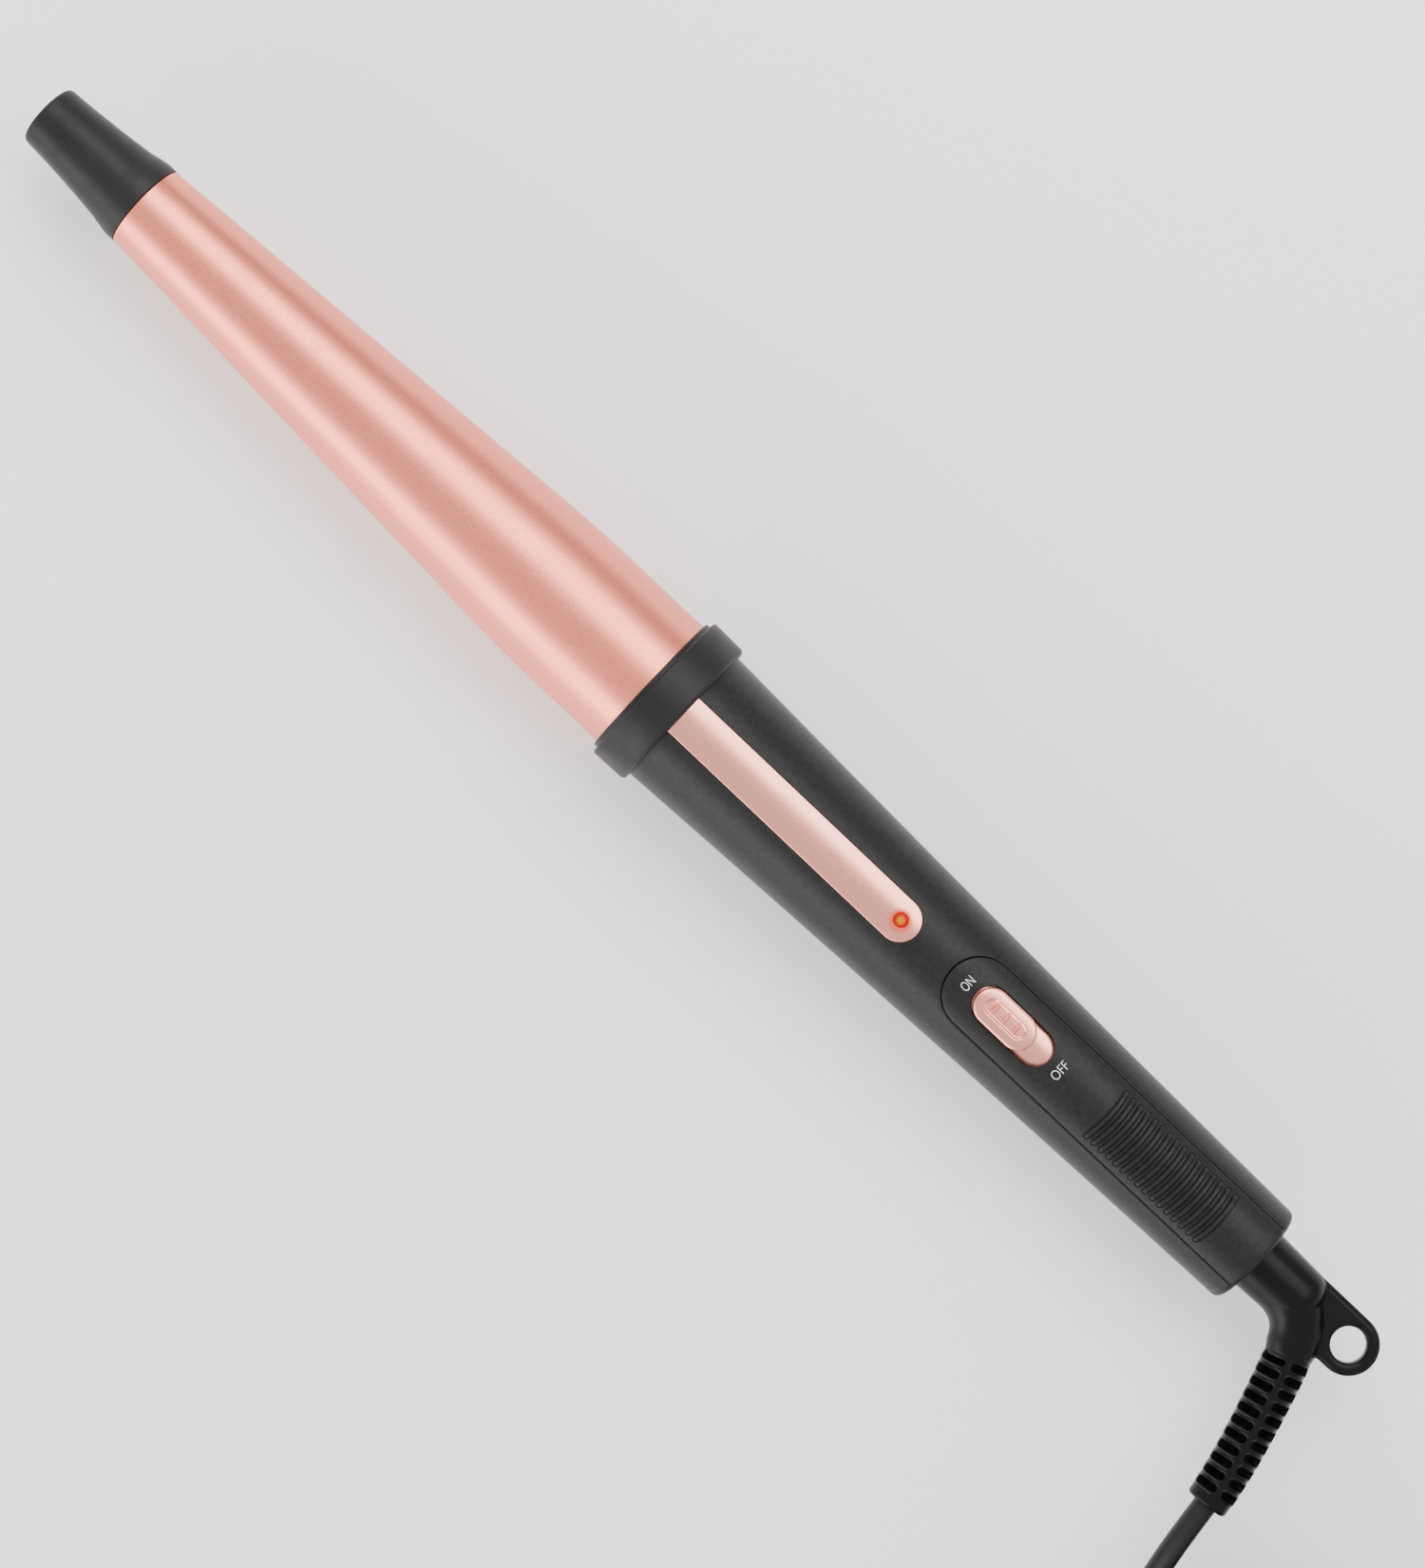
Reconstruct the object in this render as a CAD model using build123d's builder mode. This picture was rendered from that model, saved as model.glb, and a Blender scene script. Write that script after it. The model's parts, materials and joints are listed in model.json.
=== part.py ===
"""Curling wand: tapered heated barrel, cool tip, collar, handle with slide switch, swivel cord.

Millimetres.  +X runs along the wand towards the cool tip, +Z is up and the wand lies on its
collar, switch side up.  The origin is on the surface, under the middle of the wand.
"""
import math
import os

from build123d import *

os.makedirs("parts", exist_ok=True)

# Places along the wand
tip_front = 170.3
tip_length = 28.0
barrel_front = tip_front - tip_length
cone_length = 113.7
collar_front = -1.0
collar_length = 8.5
handle_front = collar_front - collar_length
handle_length = 160.8
handle_rear = handle_front - handle_length
handle_middle = (handle_front + handle_rear) / 2

# Radii about the wand's axis
collar_radius = 18.15
collar_rear_radius = 17.95
tip_face_radius = 6.95
tip_waist_radius = 8.85
tip_lip_radius = 9.6
barrel_tip_radius = 9.5
barrel_radius = 16.0
handle_front_radius = 16.2
handle_middle_radius = 13.5
handle_rear_radius = 11.65

# Walls and clearances
barrel_wall = 1.1
handle_wall = 2.0
end_wall = 3.0
tip_wall = 1.6
press_gap = 0.05
groove = 0.35
running_gap = 0.08
end_play = 0.2

# Handle trim, panel and slide switch
trim_half_width = 4.6
trim_rear = -74.1
trim_thickness = 0.9
led_x = -69.7
led_radius = 1.5
panel_front = -84.1
panel_half_width = 7.7
panel_edge_depth = 2.6
rail_rear = -148.0
knob_front = -91.2
knob_length = 14.9
knob_width = 7.75
knob_rise = 1.3
knob_edge_round = 0.6
knob_pocket_length = 10.4
knob_pocket_width = 3.4
knob_pocket_depth = 0.5
knob_bar_pitch = 2.9
knob_bar_length = 2.2
knob_bar_width = 1.0
knob_bar_height = 0.4
prong = 1.2
prong_width = 4.0
prong_gap = 0.04
switch_travel = 4.5
slot_side_gap = 0.175
slot_end_gap = 0.3
skirt_depth = 1.4
skirt_thickness = 0.8
skirt_width = 9.8
skirt_overlap = 5.0
thin_panel = 1.1
rib_count = 16
rib_pitch = 2.033
rib_first = -127.05
rib_length = 12.4
rib_width = 1.1
rib_rise = 0.5
rib_bow = 0.5

# Heater stack, heights from the axis
heater_rear = 32.0
heater_front = 104.0
heater_gap = 0.2
tile_count = 3
tile_length = 22.0
tile_width = 7.5
tile_half_height = 1.2
electrode_thickness = 0.4
film_thickness = 0.25
spring_space = 1.2
clamp_wall = 2.0

# Control board
board_front = -52.0
board_rear = -124.0
board_width = 18.0
board_bottom = -0.6
board_top = 1.0
post_places = (-58.0, -118.0)
post_radius = 2.5
screw_radius = 1.1
lead_radius = 0.8
lead_side = 3.2

# Cord swivel
neck_radius = 7.0
neck_end_radius = 6.5
neck_length = 16.3
flange_radius = 9.0
flange_thickness = 2.5
spindle_radius = 3.6
spindle_front = -145.0
retainer_thickness = 3.5
ring_width = 3.0
loop_behind = 26.2
loop_radius = 6.5
loop_hole_radius = 3.75
loop_thickness = 3.8
loop_root = 10.0
neck_end_round = 2.5
elbow_behind = 15.6
elbow_radius = 5.3
elbow_bend_radius = 7.0
boot_reach = 10.6
boot_bend_radius = 80.0
boot_bore_radius = 3.1
boot_rib_width = 1.5
boot_first_slot = 3.9
boot_least_end = 1.2
boot_slots = 11
boot_slot_pitch = 2.95
boot_slot_width = 1.7
boot_start_radius = 4.9
boot_end_radius = 4.4

# Cord, its coil and its plug
cord_radius = 2.6
coil_x = -240.0
coil_y = 78.0
coil_inner_turn = 28.4
coil_outer_turn = coil_inner_turn + 2 * cord_radius
coil_layers = 4
tie_thickness = 1.0
tie_width = 9.0
tie_angle = 260.0
coil_start_angle = 25.0
coil_end_angle = 180.0
plug_x = -268.0
plug_width = 22.0
plug_height = 16.0
plug_length = 26.0
plug_relief_start = 36.0
plug_relief_length = 14.0
plug_relief_tip_radius = 3.8
plug_relief_root_radius = 5.0
plug_relief_overlap = 0.5
plug_back_width = 17.0
plug_back_height = 12.0
plug_back_round = 4.0
plug_flat_length = 8.0
plug_round = 5.0
plug_edge_round = 1.2
blade_spacing = 12.7
blade_length = 16.0
blade_width = 6.35
blade_thickness = 1.5
blade_chamfer = 0.5
blade_hole_radius = 1.6
blade_hole_inset = 3.6

# Worked out from the sizes above
axis_height = collar_radius
cone_rear = barrel_front - cone_length
coil_base = tie_thickness
full_height = 2 * cord_radius * coil_layers
coil_height = full_height + 2 * cord_radius
coil_top_z = coil_base + coil_height - cord_radius
coil_low_z = coil_base + cord_radius
turn_round = 0.95 * cord_radius
plug_z = plug_height / 2
stack_half = tile_half_height + electrode_thickness + film_thickness
slot_front = knob_front + slot_end_gap
slot_length = knob_length + switch_travel + 2 * slot_end_gap
slot_x = slot_front - slot_length / 2
knob_x = knob_front - knob_length / 2
skirt_x = knob_x - (switch_travel - skirt_overlap + slot_end_gap) / 2 + 0.2
skirt_length = knob_length + 2 * skirt_overlap + 0.5
handle_pull_radius = 2 * handle_middle_radius - (handle_front_radius + handle_rear_radius) / 2

wand_axis = Axis((0, 0, axis_height), (1, 0, 0))
side_plane = Plane(origin=(0, 0, axis_height), x_dir=(1, 0, 0), z_dir=(0, -1, 0))
axis_plane = Plane.XY.offset(axis_height)


def handle_radius(x):
    """Outer radius of the handle at x: a parabola through its front, middle and rear radii."""
    along = (handle_front - x) / handle_length
    return (
        (1 - along) ** 2 * handle_front_radius
        + 2 * along * (1 - along) * handle_pull_radius
        + along**2 * handle_rear_radius
    )


def handle_line(depth):
    """The handle's outer line, stepped in towards the axis by a depth."""
    return Bezier(
        (handle_front, handle_front_radius - depth),
        (handle_middle, handle_pull_radius - depth),
        (handle_rear, handle_rear_radius - depth),
    )


def cross_plane(x):
    """Plane across the wand at x: local x runs along +Y and local y is height over the axis."""
    return Plane(origin=(x, 0, axis_height), x_dir=(0, 1, 0), z_dir=(1, 0, 0))


def handle_section(outer_depth, inner_depth):
    """Half section between two lines that lie these depths inside the handle's outer line.

    It is drawn to the +Y side of the axis, so the revolved wall's seam stays clear of the panel.
    """
    with BuildSketch(axis_plane) as section:
        with BuildLine():
            outer = handle_line(outer_depth)
            inner = handle_line(inner_depth)
            Line(outer @ 0, inner @ 0)
            Line(outer @ 1, inner @ 1)
        make_face()
        if outer_depth == 0:
            rear_corner = section.vertices().group_by(Axis.X)[0].sort_by(Axis.Y)[-1]
            fillet(rear_corner, 1.2)
    return section.sketch


def handle_patch(outer_depth, inner_depth, outline):
    """Piece of the handle's wall between two depths, below a flat outline over the axis."""
    with BuildPart() as patch:
        revolve(handle_section(outer_depth, inner_depth), axis=wand_axis)
        extrude(outline, amount=collar_radius + 2, mode=Mode.INTERSECT)
    return patch.part


def band(round_x, square_x, half_width):
    """Flat band along X with a half-round end about round_x and a square end at square_x."""
    with BuildSketch(axis_plane) as outline:
        with Locations((round_x, 0)):
            Circle(half_width)
        with Locations(((round_x + square_x) / 2, 0)):
            Rectangle(abs(square_x - round_x), 2 * half_width)
    return outline.sketch


def stadium(centre_x, length, width, height=0.0):
    """Stadium along X on the plane that lies this height over the wand's axis."""
    with BuildSketch(axis_plane.offset(height)) as outline:
        with Locations((centre_x, 0)):
            SlotOverall(length, width)
    return outline.sketch


def cord_path(points):
    """Straight runs joined by tangent arcs, each as large as its two runs allow."""
    corners = [Vector(*point) for point in points]
    runs = [after - before for before, after in zip(corners, corners[1:])]
    radii = []
    for run, next_run in zip(runs, runs[1:]):
        half_turn = math.radians(run.get_angle(next_run)) / 2
        radii.append(0.45 * min(run.length, next_run.length) / math.tan(half_turn))
    print("radii of the cord's arcs:", [round(radius, 1) for radius in radii])
    return FilletPolyline(*points, radius=radii)


# ------------------------------------------------------------------ barrel and tip

# Cool tip: hollow cap that flares to a lip, with a spigot that goes into the barrel
with BuildPart() as cool_tip:
    with BuildSketch(side_plane) as tip_half:
        with BuildLine():
            face = ThreePointArc(
                (tip_front, 0),
                (tip_front - 0.12, 3.4),
                (tip_front - 0.5, tip_face_radius),
            )
            neck = ThreePointArc(
                face @ 1,
                (barrel_front + 16, 7.8),
                (barrel_front + 6, tip_waist_radius),
            )
            flare = ThreePointArc(
                neck @ 1,
                (barrel_front + 3.9, 9.35),
                (barrel_front + 2, tip_lip_radius),
            )
            Polyline(
                flare @ 1,
                (barrel_front, tip_lip_radius),
                (barrel_front, barrel_tip_radius - barrel_wall - press_gap),
                (barrel_front - 9, barrel_tip_radius - barrel_wall - press_gap),
                (barrel_front - 9, tip_face_radius - tip_wall),
                (tip_front - 4, tip_face_radius - tip_wall),
                (tip_front - 4, 0),
                (tip_front, 0),
            )
        make_face()
        fillet(tip_half.vertices().filter_by_position(Axis.Y, 6.9, 7.0).sort_by(Axis.X)[-1], 1.2)
        fillet(tip_half.vertices().group_by(Axis.Y)[-1].sort_by(Axis.X)[0], 0.3)
    revolve(axis=wand_axis)
cool_tip.part.label = "cool_tip"
export_step(cool_tip.part, "parts/cool_tip.step")

# Heating barrel: coated aluminium tube, a cone that ends in a straight stretch at the collar
barrel_rear = collar_front - 6
with BuildPart() as heating_barrel:
    with BuildSketch(side_plane):
        with BuildLine():
            outside = FilletPolyline(
                (barrel_front, barrel_tip_radius),
                (cone_rear, barrel_radius),
                (barrel_rear, barrel_radius),
                radius=200,
            )
            inside = FilletPolyline(
                (barrel_front, barrel_tip_radius - barrel_wall),
                (cone_rear, barrel_radius - barrel_wall),
                (barrel_rear, barrel_radius - barrel_wall),
                radius=200,
            )
            Line(outside @ 0, inside @ 0)
            Line(outside @ 1, inside @ 1)
        make_face()
    revolve(axis=wand_axis)
heating_barrel.part.label = "heating_barrel"
export_step(heating_barrel.part, "parts/heating_barrel.step")

# Collar: guard flange with a low lip in front, a seat for the barrel and a spigot in the handle
with BuildPart() as collar:
    with BuildSketch(side_plane) as collar_half:
        with BuildLine():
            Polyline(
                (collar_front + 1, barrel_radius),
                (collar_front + 1, barrel_radius + 0.8),
                (collar_front, barrel_radius + 0.8),
                (collar_front, collar_radius),
                (handle_front, collar_rear_radius),
                (handle_front, handle_front_radius - handle_wall - press_gap),
                (handle_front - 7, handle_front_radius - handle_wall - 0.4),
                (handle_front - 7, 12.2),
                (barrel_rear, 12.2),
                (barrel_rear, barrel_radius),
                close=True,
            )
        make_face()
        fillet(collar_half.vertices().group_by(Axis.Y)[-1], 0.5)
        fillet(collar_half.vertices().filter_by_position(Axis.Y, 17.9, 18.0), 0.9)
    revolve(axis=wand_axis)
collar.part.label = "collar"
export_step(collar.part, "parts/collar.step")

# Barrel insulator: heat-proof ring inside the barrel's rear end
insulator_front = 5.0
with BuildPart() as barrel_insulator:
    with BuildSketch(cross_plane(barrel_rear)):
        Circle(barrel_radius - barrel_wall - press_gap)
        Circle(6.5, mode=Mode.SUBTRACT)
    extrude(amount=insulator_front - barrel_rear)
    chamfer(barrel_insulator.edges().filter_by(GeomType.CIRCLE).sort_by(Axis.X)[-1], 0.5)
barrel_insulator.part.label = "barrel_insulator"
export_step(barrel_insulator.part, "parts/barrel_insulator.step")

# ------------------------------------------------------------------ heater


def barrel_bore(x):
    """Inner radius of the barrel's cone at x."""
    along = (barrel_front - x) / cone_length
    return barrel_tip_radius - barrel_wall + along * (barrel_radius - barrel_tip_radius)


def clamp_section(x, inset, flat, side):
    """D-shaped section of a heater clamp: the bore's circle on one side of a flat."""
    with BuildSketch(cross_plane(x)) as section:
        Circle(barrel_bore(x) - heater_gap - inset)
        with Locations((0, side * (flat + inset + barrel_radius))):
            Rectangle(2 * barrel_radius, 2 * barrel_radius, mode=Mode.INTERSECT)
    return section.sketch


# Heater clamps: two hollow aluminium halves that carry the heat to the barrel
with BuildPart() as heater_clamp_upper:
    loft([clamp_section(x, 0, stack_half, 1) for x in (heater_rear, heater_front)])
    loft(
        [clamp_section(x, clamp_wall, stack_half, 1) for x in (heater_rear, heater_front)],
        mode=Mode.SUBTRACT,
    )
heater_clamp_upper.part.label = "heater_clamp_upper"
export_step(heater_clamp_upper.part, "parts/heater_clamp_upper.step")

lower_flat = stack_half + spring_space
with BuildPart() as heater_clamp_lower:
    loft([clamp_section(x, 0, lower_flat, -1) for x in (heater_rear, heater_front)])
    loft(
        [clamp_section(x, clamp_wall, lower_flat, -1) for x in (heater_rear, heater_front)],
        mode=Mode.SUBTRACT,
    )
heater_clamp_lower.part.label = "heater_clamp_lower"
export_step(heater_clamp_lower.part, "parts/heater_clamp_lower.step")

# Ceramic heater: three PTC tiles in a row
heater_middle = (heater_rear + heater_front) / 2
with BuildPart() as ptc_tiles:
    with BuildSketch(axis_plane):
        with Locations((heater_middle, 0)):
            with GridLocations(tile_length + 1.5, 0, tile_count, 1):
                Rectangle(tile_length, tile_width)
    extrude(amount=tile_half_height, both=True)
ptc_tiles.part.label = "ptc_tiles"
export_step(ptc_tiles.part, "parts/ptc_tiles.step")

# Electrodes: one sheet above and one below the tiles, each with a narrow tail for its lead
tail_length = 8.0
electrode_length = tile_count * tile_length + 5
with BuildPart() as heater_electrodes:
    for height in (tile_half_height, -tile_half_height - electrode_thickness):
        tail_side = lead_side / 2 if height > 0 else -lead_side / 2
        with BuildSketch(axis_plane.offset(height)):
            with Locations((heater_middle, 0)):
                Rectangle(electrode_length, tile_width)
            with Locations((heater_middle - (electrode_length + tail_length) / 2, tail_side)):
                Rectangle(tail_length, 3)
        extrude(amount=electrode_thickness)
heater_electrodes.part.label = "heater_electrodes"
export_step(heater_electrodes.part, "parts/heater_electrodes.step")

# Insulating film: a flat sleeve round tiles and electrodes
film_inner_half = stack_half - film_thickness
with BuildPart() as heater_film:
    with BuildSketch(cross_plane(heater_rear - 1)):
        Rectangle(tile_width + 1, 2 * stack_half)
        Rectangle(tile_width + 0.4, 2 * film_inner_half, mode=Mode.SUBTRACT)
    extrude(amount=heater_front - heater_rear + 2)
heater_film.part.label = "heater_film"
export_step(heater_film.part, "parts/heater_film.step")

# Leaf spring: a bowed steel strip that pushes the heater up against the upper clamp
spring_thickness = 0.3
with BuildPart() as heater_spring:
    with BuildSketch(side_plane):
        with BuildLine():
            bow_top = ThreePointArc(
                (heater_rear + 3, -lower_flat + spring_thickness),
                (heater_middle, -stack_half),
                (heater_front - 3, -lower_flat + spring_thickness),
            )
            bow_bottom = ThreePointArc(
                (heater_rear + 3, -lower_flat),
                (heater_middle, -stack_half - spring_thickness),
                (heater_front - 3, -lower_flat),
            )
            Line(bow_top @ 0, bow_bottom @ 0)
            Line(bow_top @ 1, bow_bottom @ 1)
        make_face()
    extrude(amount=3, both=True)
heater_spring.part.label = "heater_spring"
export_step(heater_spring.part, "parts/heater_spring.step")

# Temperature sensor: glass bead on the upper clamp's floor
bead_radius = 1.0
sensor_height = stack_half + clamp_wall + bead_radius
with BuildPart() as thermistor:
    with BuildSketch(cross_plane(heater_middle - 2)):
        with Locations((0, sensor_height)):
            Circle(bead_radius)
    extrude(amount=4)
    fillet(thermistor.edges().filter_by(GeomType.CIRCLE), 0.6)
thermistor.part.label = "thermistor"
export_step(thermistor.part, "parts/thermistor.step")

# Sensor leads: two thin wires from the bead back to the board
with BuildPart() as thermistor_leads:
    for side in (-0.6, 0.6):
        with BuildLine() as sensor_run:
            FilletPolyline(
                (heater_middle - 2, side, axis_height + sensor_height),
                (heater_rear - 6, side, axis_height + sensor_height),
                (0, side, axis_height + board_top + 0.4),
                (board_front - 3, side, axis_height + board_top + 0.4),
                radius=12,
            )
        with BuildSketch(Plane(origin=sensor_run.line @ 0, z_dir=sensor_run.line % 0)):
            Circle(0.35)
        sweep(path=sensor_run.line)
thermistor_leads.part.label = "thermistor_leads"
export_step(thermistor_leads.part, "parts/thermistor_leads.step")

# Thermal fuse in the upper electrode's lead, in its own sheath
fuse_rear = 8.0
fuse_length = 10.0
with BuildPart() as thermal_fuse:
    with BuildSketch(cross_plane(fuse_rear)):
        with Locations((lead_side, 0)):
            Circle(1.8)
    extrude(amount=fuse_length)
    chamfer(thermal_fuse.edges().filter_by(GeomType.CIRCLE), 0.4)
thermal_fuse.part.label = "thermal_fuse"
export_step(thermal_fuse.part, "parts/thermal_fuse.step")

# Heater leads: one from each electrode tail, through the collar, to the board
with BuildPart() as heater_leads:
    for side, lead_front in ((lead_side, fuse_rear), (-lead_side, 24.0)):
        with BuildLine() as lead_run:
            FilletPolyline(
                (lead_front, side, axis_height),
                (-24, side, axis_height),
                (-38, side * 1.3, axis_height + board_top + lead_radius),
                (board_front - 3, side * 1.3, axis_height + board_top + lead_radius),
                radius=10,
            )
        with BuildSketch(Plane(origin=lead_run.line @ 0, z_dir=lead_run.line % 0)):
            Circle(lead_radius)
        sweep(path=lead_run.line)
heater_leads.part.label = "heater_leads"
export_step(heater_leads.part, "parts/heater_leads.step")

# Lead sleeves: glass-fibre tubes over the hot ends of the leads
with BuildPart() as lead_sleeves:
    with BuildSketch(cross_plane(-22)):
        with Locations((lead_side, 0), (-lead_side, 0)):
            Circle(1.5)
            Circle(lead_radius + press_gap, mode=Mode.SUBTRACT)
    extrude(amount=28)
lead_sleeves.part.label = "lead_sleeves"
export_step(lead_sleeves.part, "parts/lead_sleeves.step")

# ------------------------------------------------------------------ handle

panel_round_x = panel_front - panel_half_width
trim_round_x = trim_rear + trim_half_width
beyond_rear = handle_rear - 1

panel_space = handle_patch(
    -1, panel_edge_depth + 0.1, band(panel_round_x, beyond_rear, panel_half_width + groove)
)
trim_space = handle_patch(
    -1, trim_thickness, band(trim_round_x, handle_front + 1, trim_half_width)
)

# Handle shell: tapered tube with an end wall, two screw posts and places for panel and trim
with BuildPart() as handle_shell:
    revolve(handle_section(0, handle_wall), axis=wand_axis)
    with BuildSketch(cross_plane(handle_rear)):
        Circle(handle_rear_radius - handle_wall + 0.1)
    extrude(amount=end_wall)
    for place in post_places:
        post_height = handle_radius(place) - handle_wall + 0.8 + board_bottom
        with BuildSketch(axis_plane.offset(board_bottom)):
            with Locations((place, 0)):
                Circle(post_radius)
                Circle(screw_radius, mode=Mode.SUBTRACT)
        extrude(amount=-post_height)
    with BuildSketch(cross_plane(handle_rear)):
        Circle(neck_radius + running_gap)
    extrude(amount=end_wall, mode=Mode.SUBTRACT)
    add(panel_space, mode=Mode.SUBTRACT)
    add(trim_space, mode=Mode.SUBTRACT)
    with BuildSketch(axis_plane.offset(board_top)):
        with Locations((led_x, 0)):
            Circle(led_radius)
    extrude(amount=collar_radius, mode=Mode.SUBTRACT)
handle_shell.part.label = "handle_shell"
export_step(handle_shell.part, "parts/handle_shell.step")

# Trim strip: metallic inlay that follows the handle from the collar to the pilot light
with BuildPart() as trim_strip:
    add(handle_patch(0.02, trim_thickness, band(trim_round_x, handle_front + 1, trim_half_width)))
    with BuildSketch(axis_plane):
        with Locations((led_x, 0)):
            Circle(led_radius)
    extrude(amount=collar_radius, mode=Mode.SUBTRACT)
trim_strip.part.label = "trim_strip"
export_step(trim_strip.part, "parts/trim_strip.step")

# Grip ribs stand on the panel, one behind the other, each bowed a little towards the rear
rib_reach = (rib_length - rib_width) / 2
with BuildLine() as rib_run:
    ThreePointArc((0, -rib_reach), (-rib_bow, 0), (0, rib_reach))
with BuildSketch(axis_plane) as rib_outlines:
    rib_middle = rib_first - rib_pitch * (rib_count - 1) / 2
    with Locations((rib_middle, 0)):
        with GridLocations(rib_pitch, 0, rib_count, 1):
            SlotArc(rib_run.edge(), rib_width)
grip_ribs = handle_patch(-rib_rise, 0.5, rib_outlines.sketch)

panel_outline = band(panel_round_x, beyond_rear, panel_half_width)
with BuildSketch(axis_plane) as hollow_outline:
    add(band(panel_round_x, beyond_rear, panel_half_width - 1.5))
    with Locations(((rail_rear + beyond_rear) / 2, 0)):
        Rectangle(rail_rear - beyond_rear, 2 * panel_half_width + 2)
panel_hollow = handle_patch(handle_wall, panel_edge_depth + 1, hollow_outline.sketch)
skirt_gap = 0.2
skirt_path = stadium(
    skirt_x - switch_travel / 2,
    skirt_length + switch_travel + 2 * skirt_gap,
    skirt_width + 2 * skirt_gap,
)
skirt_pocket = handle_patch(thin_panel, handle_wall + press_gap, skirt_path)

# Switch panel: cover with thicker edges, the slide's slot and the grip ribs
with BuildPart() as switch_panel:
    add(handle_patch(0, panel_edge_depth, panel_outline))
    add(panel_hollow, mode=Mode.SUBTRACT)
    add(skirt_pocket, mode=Mode.SUBTRACT)
    extrude(
        stadium(slot_x, slot_length, knob_width + 2 * slot_side_gap),
        amount=collar_radius,
        mode=Mode.SUBTRACT,
    )
    add(grip_ribs)
switch_panel.part.label = "switch_panel"
export_step(switch_panel.part, "parts/switch_panel.step")

# Pilot light lens in the trim strip
lens_top = handle_radius(led_x) + 0.15
lens_bottom = handle_radius(led_x) - handle_wall - 1
with BuildPart() as led_lens:
    with BuildSketch(axis_plane.offset(lens_bottom)):
        with Locations((led_x, 0)):
            Circle(led_radius - 0.02)
    extrude(amount=lens_top - lens_bottom)
    fillet(led_lens.edges().filter_by(GeomType.CIRCLE).sort_by(Axis.Z)[-1], 0.4)
led_lens.part.label = "led_lens"
export_step(led_lens.part, "parts/led_lens.step")

# ------------------------------------------------------------------ control board

# Control board: a flat sheet on the shell's screw posts
with BuildPart() as control_board:
    with BuildSketch(axis_plane.offset(board_bottom)):
        with Locations(((board_front + board_rear) / 2, 0)):
            RectangleRounded(board_front - board_rear, board_width, 1.5)
        with Locations(*[(place, 0) for place in post_places]):
            Circle(screw_radius + 0.1, mode=Mode.SUBTRACT)
    extrude(amount=board_top - board_bottom)
control_board.part.label = "control_board"
export_step(control_board.part, "parts/control_board.step")

# Board screws: pan head over the board, thread in the shell's posts
screw_length = 7.0
with BuildPart() as board_screws:
    with BuildSketch(axis_plane.offset(board_top)):
        with Locations(*[(place, 0) for place in post_places]):
            Circle(2.2)
    extrude(amount=1.5)
    fillet(board_screws.edges().filter_by(GeomType.CIRCLE).group_by(Axis.Z)[-1], 0.5)
    with BuildSketch(axis_plane.offset(board_top)):
        with Locations(*[(place, 0) for place in post_places]):
            Circle(screw_radius)
    extrude(amount=-screw_length)
board_screws.part.label = "board_screws"
export_step(board_screws.part, "parts/board_screws.step")

# Pilot light: 3 mm lamp on two legs
lamp_top = lens_bottom - 0.3
lamp_base = lamp_top - 4.8
with BuildPart() as indicator_led:
    with BuildSketch(axis_plane.offset(lamp_base)):
        with Locations((led_x, 0)):
            Circle(led_radius)
    extrude(amount=lamp_top - lamp_base)
    fillet(indicator_led.edges().filter_by(GeomType.CIRCLE).sort_by(Axis.Z)[-1], 1.3)
    with BuildSketch(axis_plane.offset(lamp_base)):
        with Locations((led_x, 0)):
            Circle(led_radius + 0.3)
    extrude(amount=0.8)
    with BuildSketch(axis_plane.offset(board_top)):
        with Locations((led_x - 0.8, 0), (led_x + 0.8, 0)):
            Circle(0.25)
    extrude(amount=lamp_base - board_top)
indicator_led.part.label = "indicator_led"
export_step(indicator_led.part, "parts/indicator_led.step")

# Suppression capacitor, hanging under the board
capacitor_x = -84.0
capacitor_length = 15.0
capacitor_width = 7.0
capacitor_height = 8.5
capacitor_round = 0.8
with BuildPart() as film_capacitor:
    with BuildSketch(axis_plane.offset(board_bottom)):
        with Locations((capacitor_x, 0)):
            RectangleRounded(capacitor_length, capacitor_width, capacitor_round)
    extrude(amount=-capacitor_height)
    fillet(film_capacitor.edges().group_by(Axis.Z)[0], 0.75 * capacitor_round)
film_capacitor.part.label = "film_capacitor"
export_step(film_capacitor.part, "parts/film_capacitor.step")

# Triac: flat-fronted package with three legs
triac_x = -113.2
triac_y = 4.5
triac_radius = 2.3
triac_flat = 0.9
triac_height = 4.2
leg_length = 1.5
leg_pitch = 1.2
leg_width = 0.45
with BuildPart() as triac:
    with BuildSketch(axis_plane.offset(board_top + leg_length)):
        with Locations((triac_x, triac_y)):
            Circle(triac_radius)
        with Locations((triac_x, triac_y + triac_flat + triac_radius / 2)):
            Rectangle(3 * triac_radius, triac_radius, mode=Mode.SUBTRACT)
    extrude(amount=triac_height)
    with BuildSketch(axis_plane.offset(board_top)):
        with Locations((triac_x, triac_y)):
            with GridLocations(leg_pitch, 0, 3, 1):
                Rectangle(leg_width, leg_width)
    extrude(amount=leg_length)
triac.part.label = "triac"
export_step(triac.part, "parts/triac.step")

# Resistors: a row of small cylinders lying on the board
resistor_places = (-76.5, -80.0, -83.5, -87.0)
resistor_radius = 1.1
resistor_length = 6.0
resistor_y = -6.6
with BuildPart() as board_resistors:
    for place in resistor_places:
        resistor_plane = Plane(
            origin=(place, resistor_y, axis_height + board_top + resistor_radius),
            x_dir=(1, 0, 0),
            z_dir=(0, 1, 0),
        )
        with BuildSketch(resistor_plane):
            Circle(resistor_radius)
        extrude(amount=resistor_length)
board_resistors.part.label = "board_resistors"
export_step(board_resistors.part, "parts/board_resistors.step")

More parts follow.
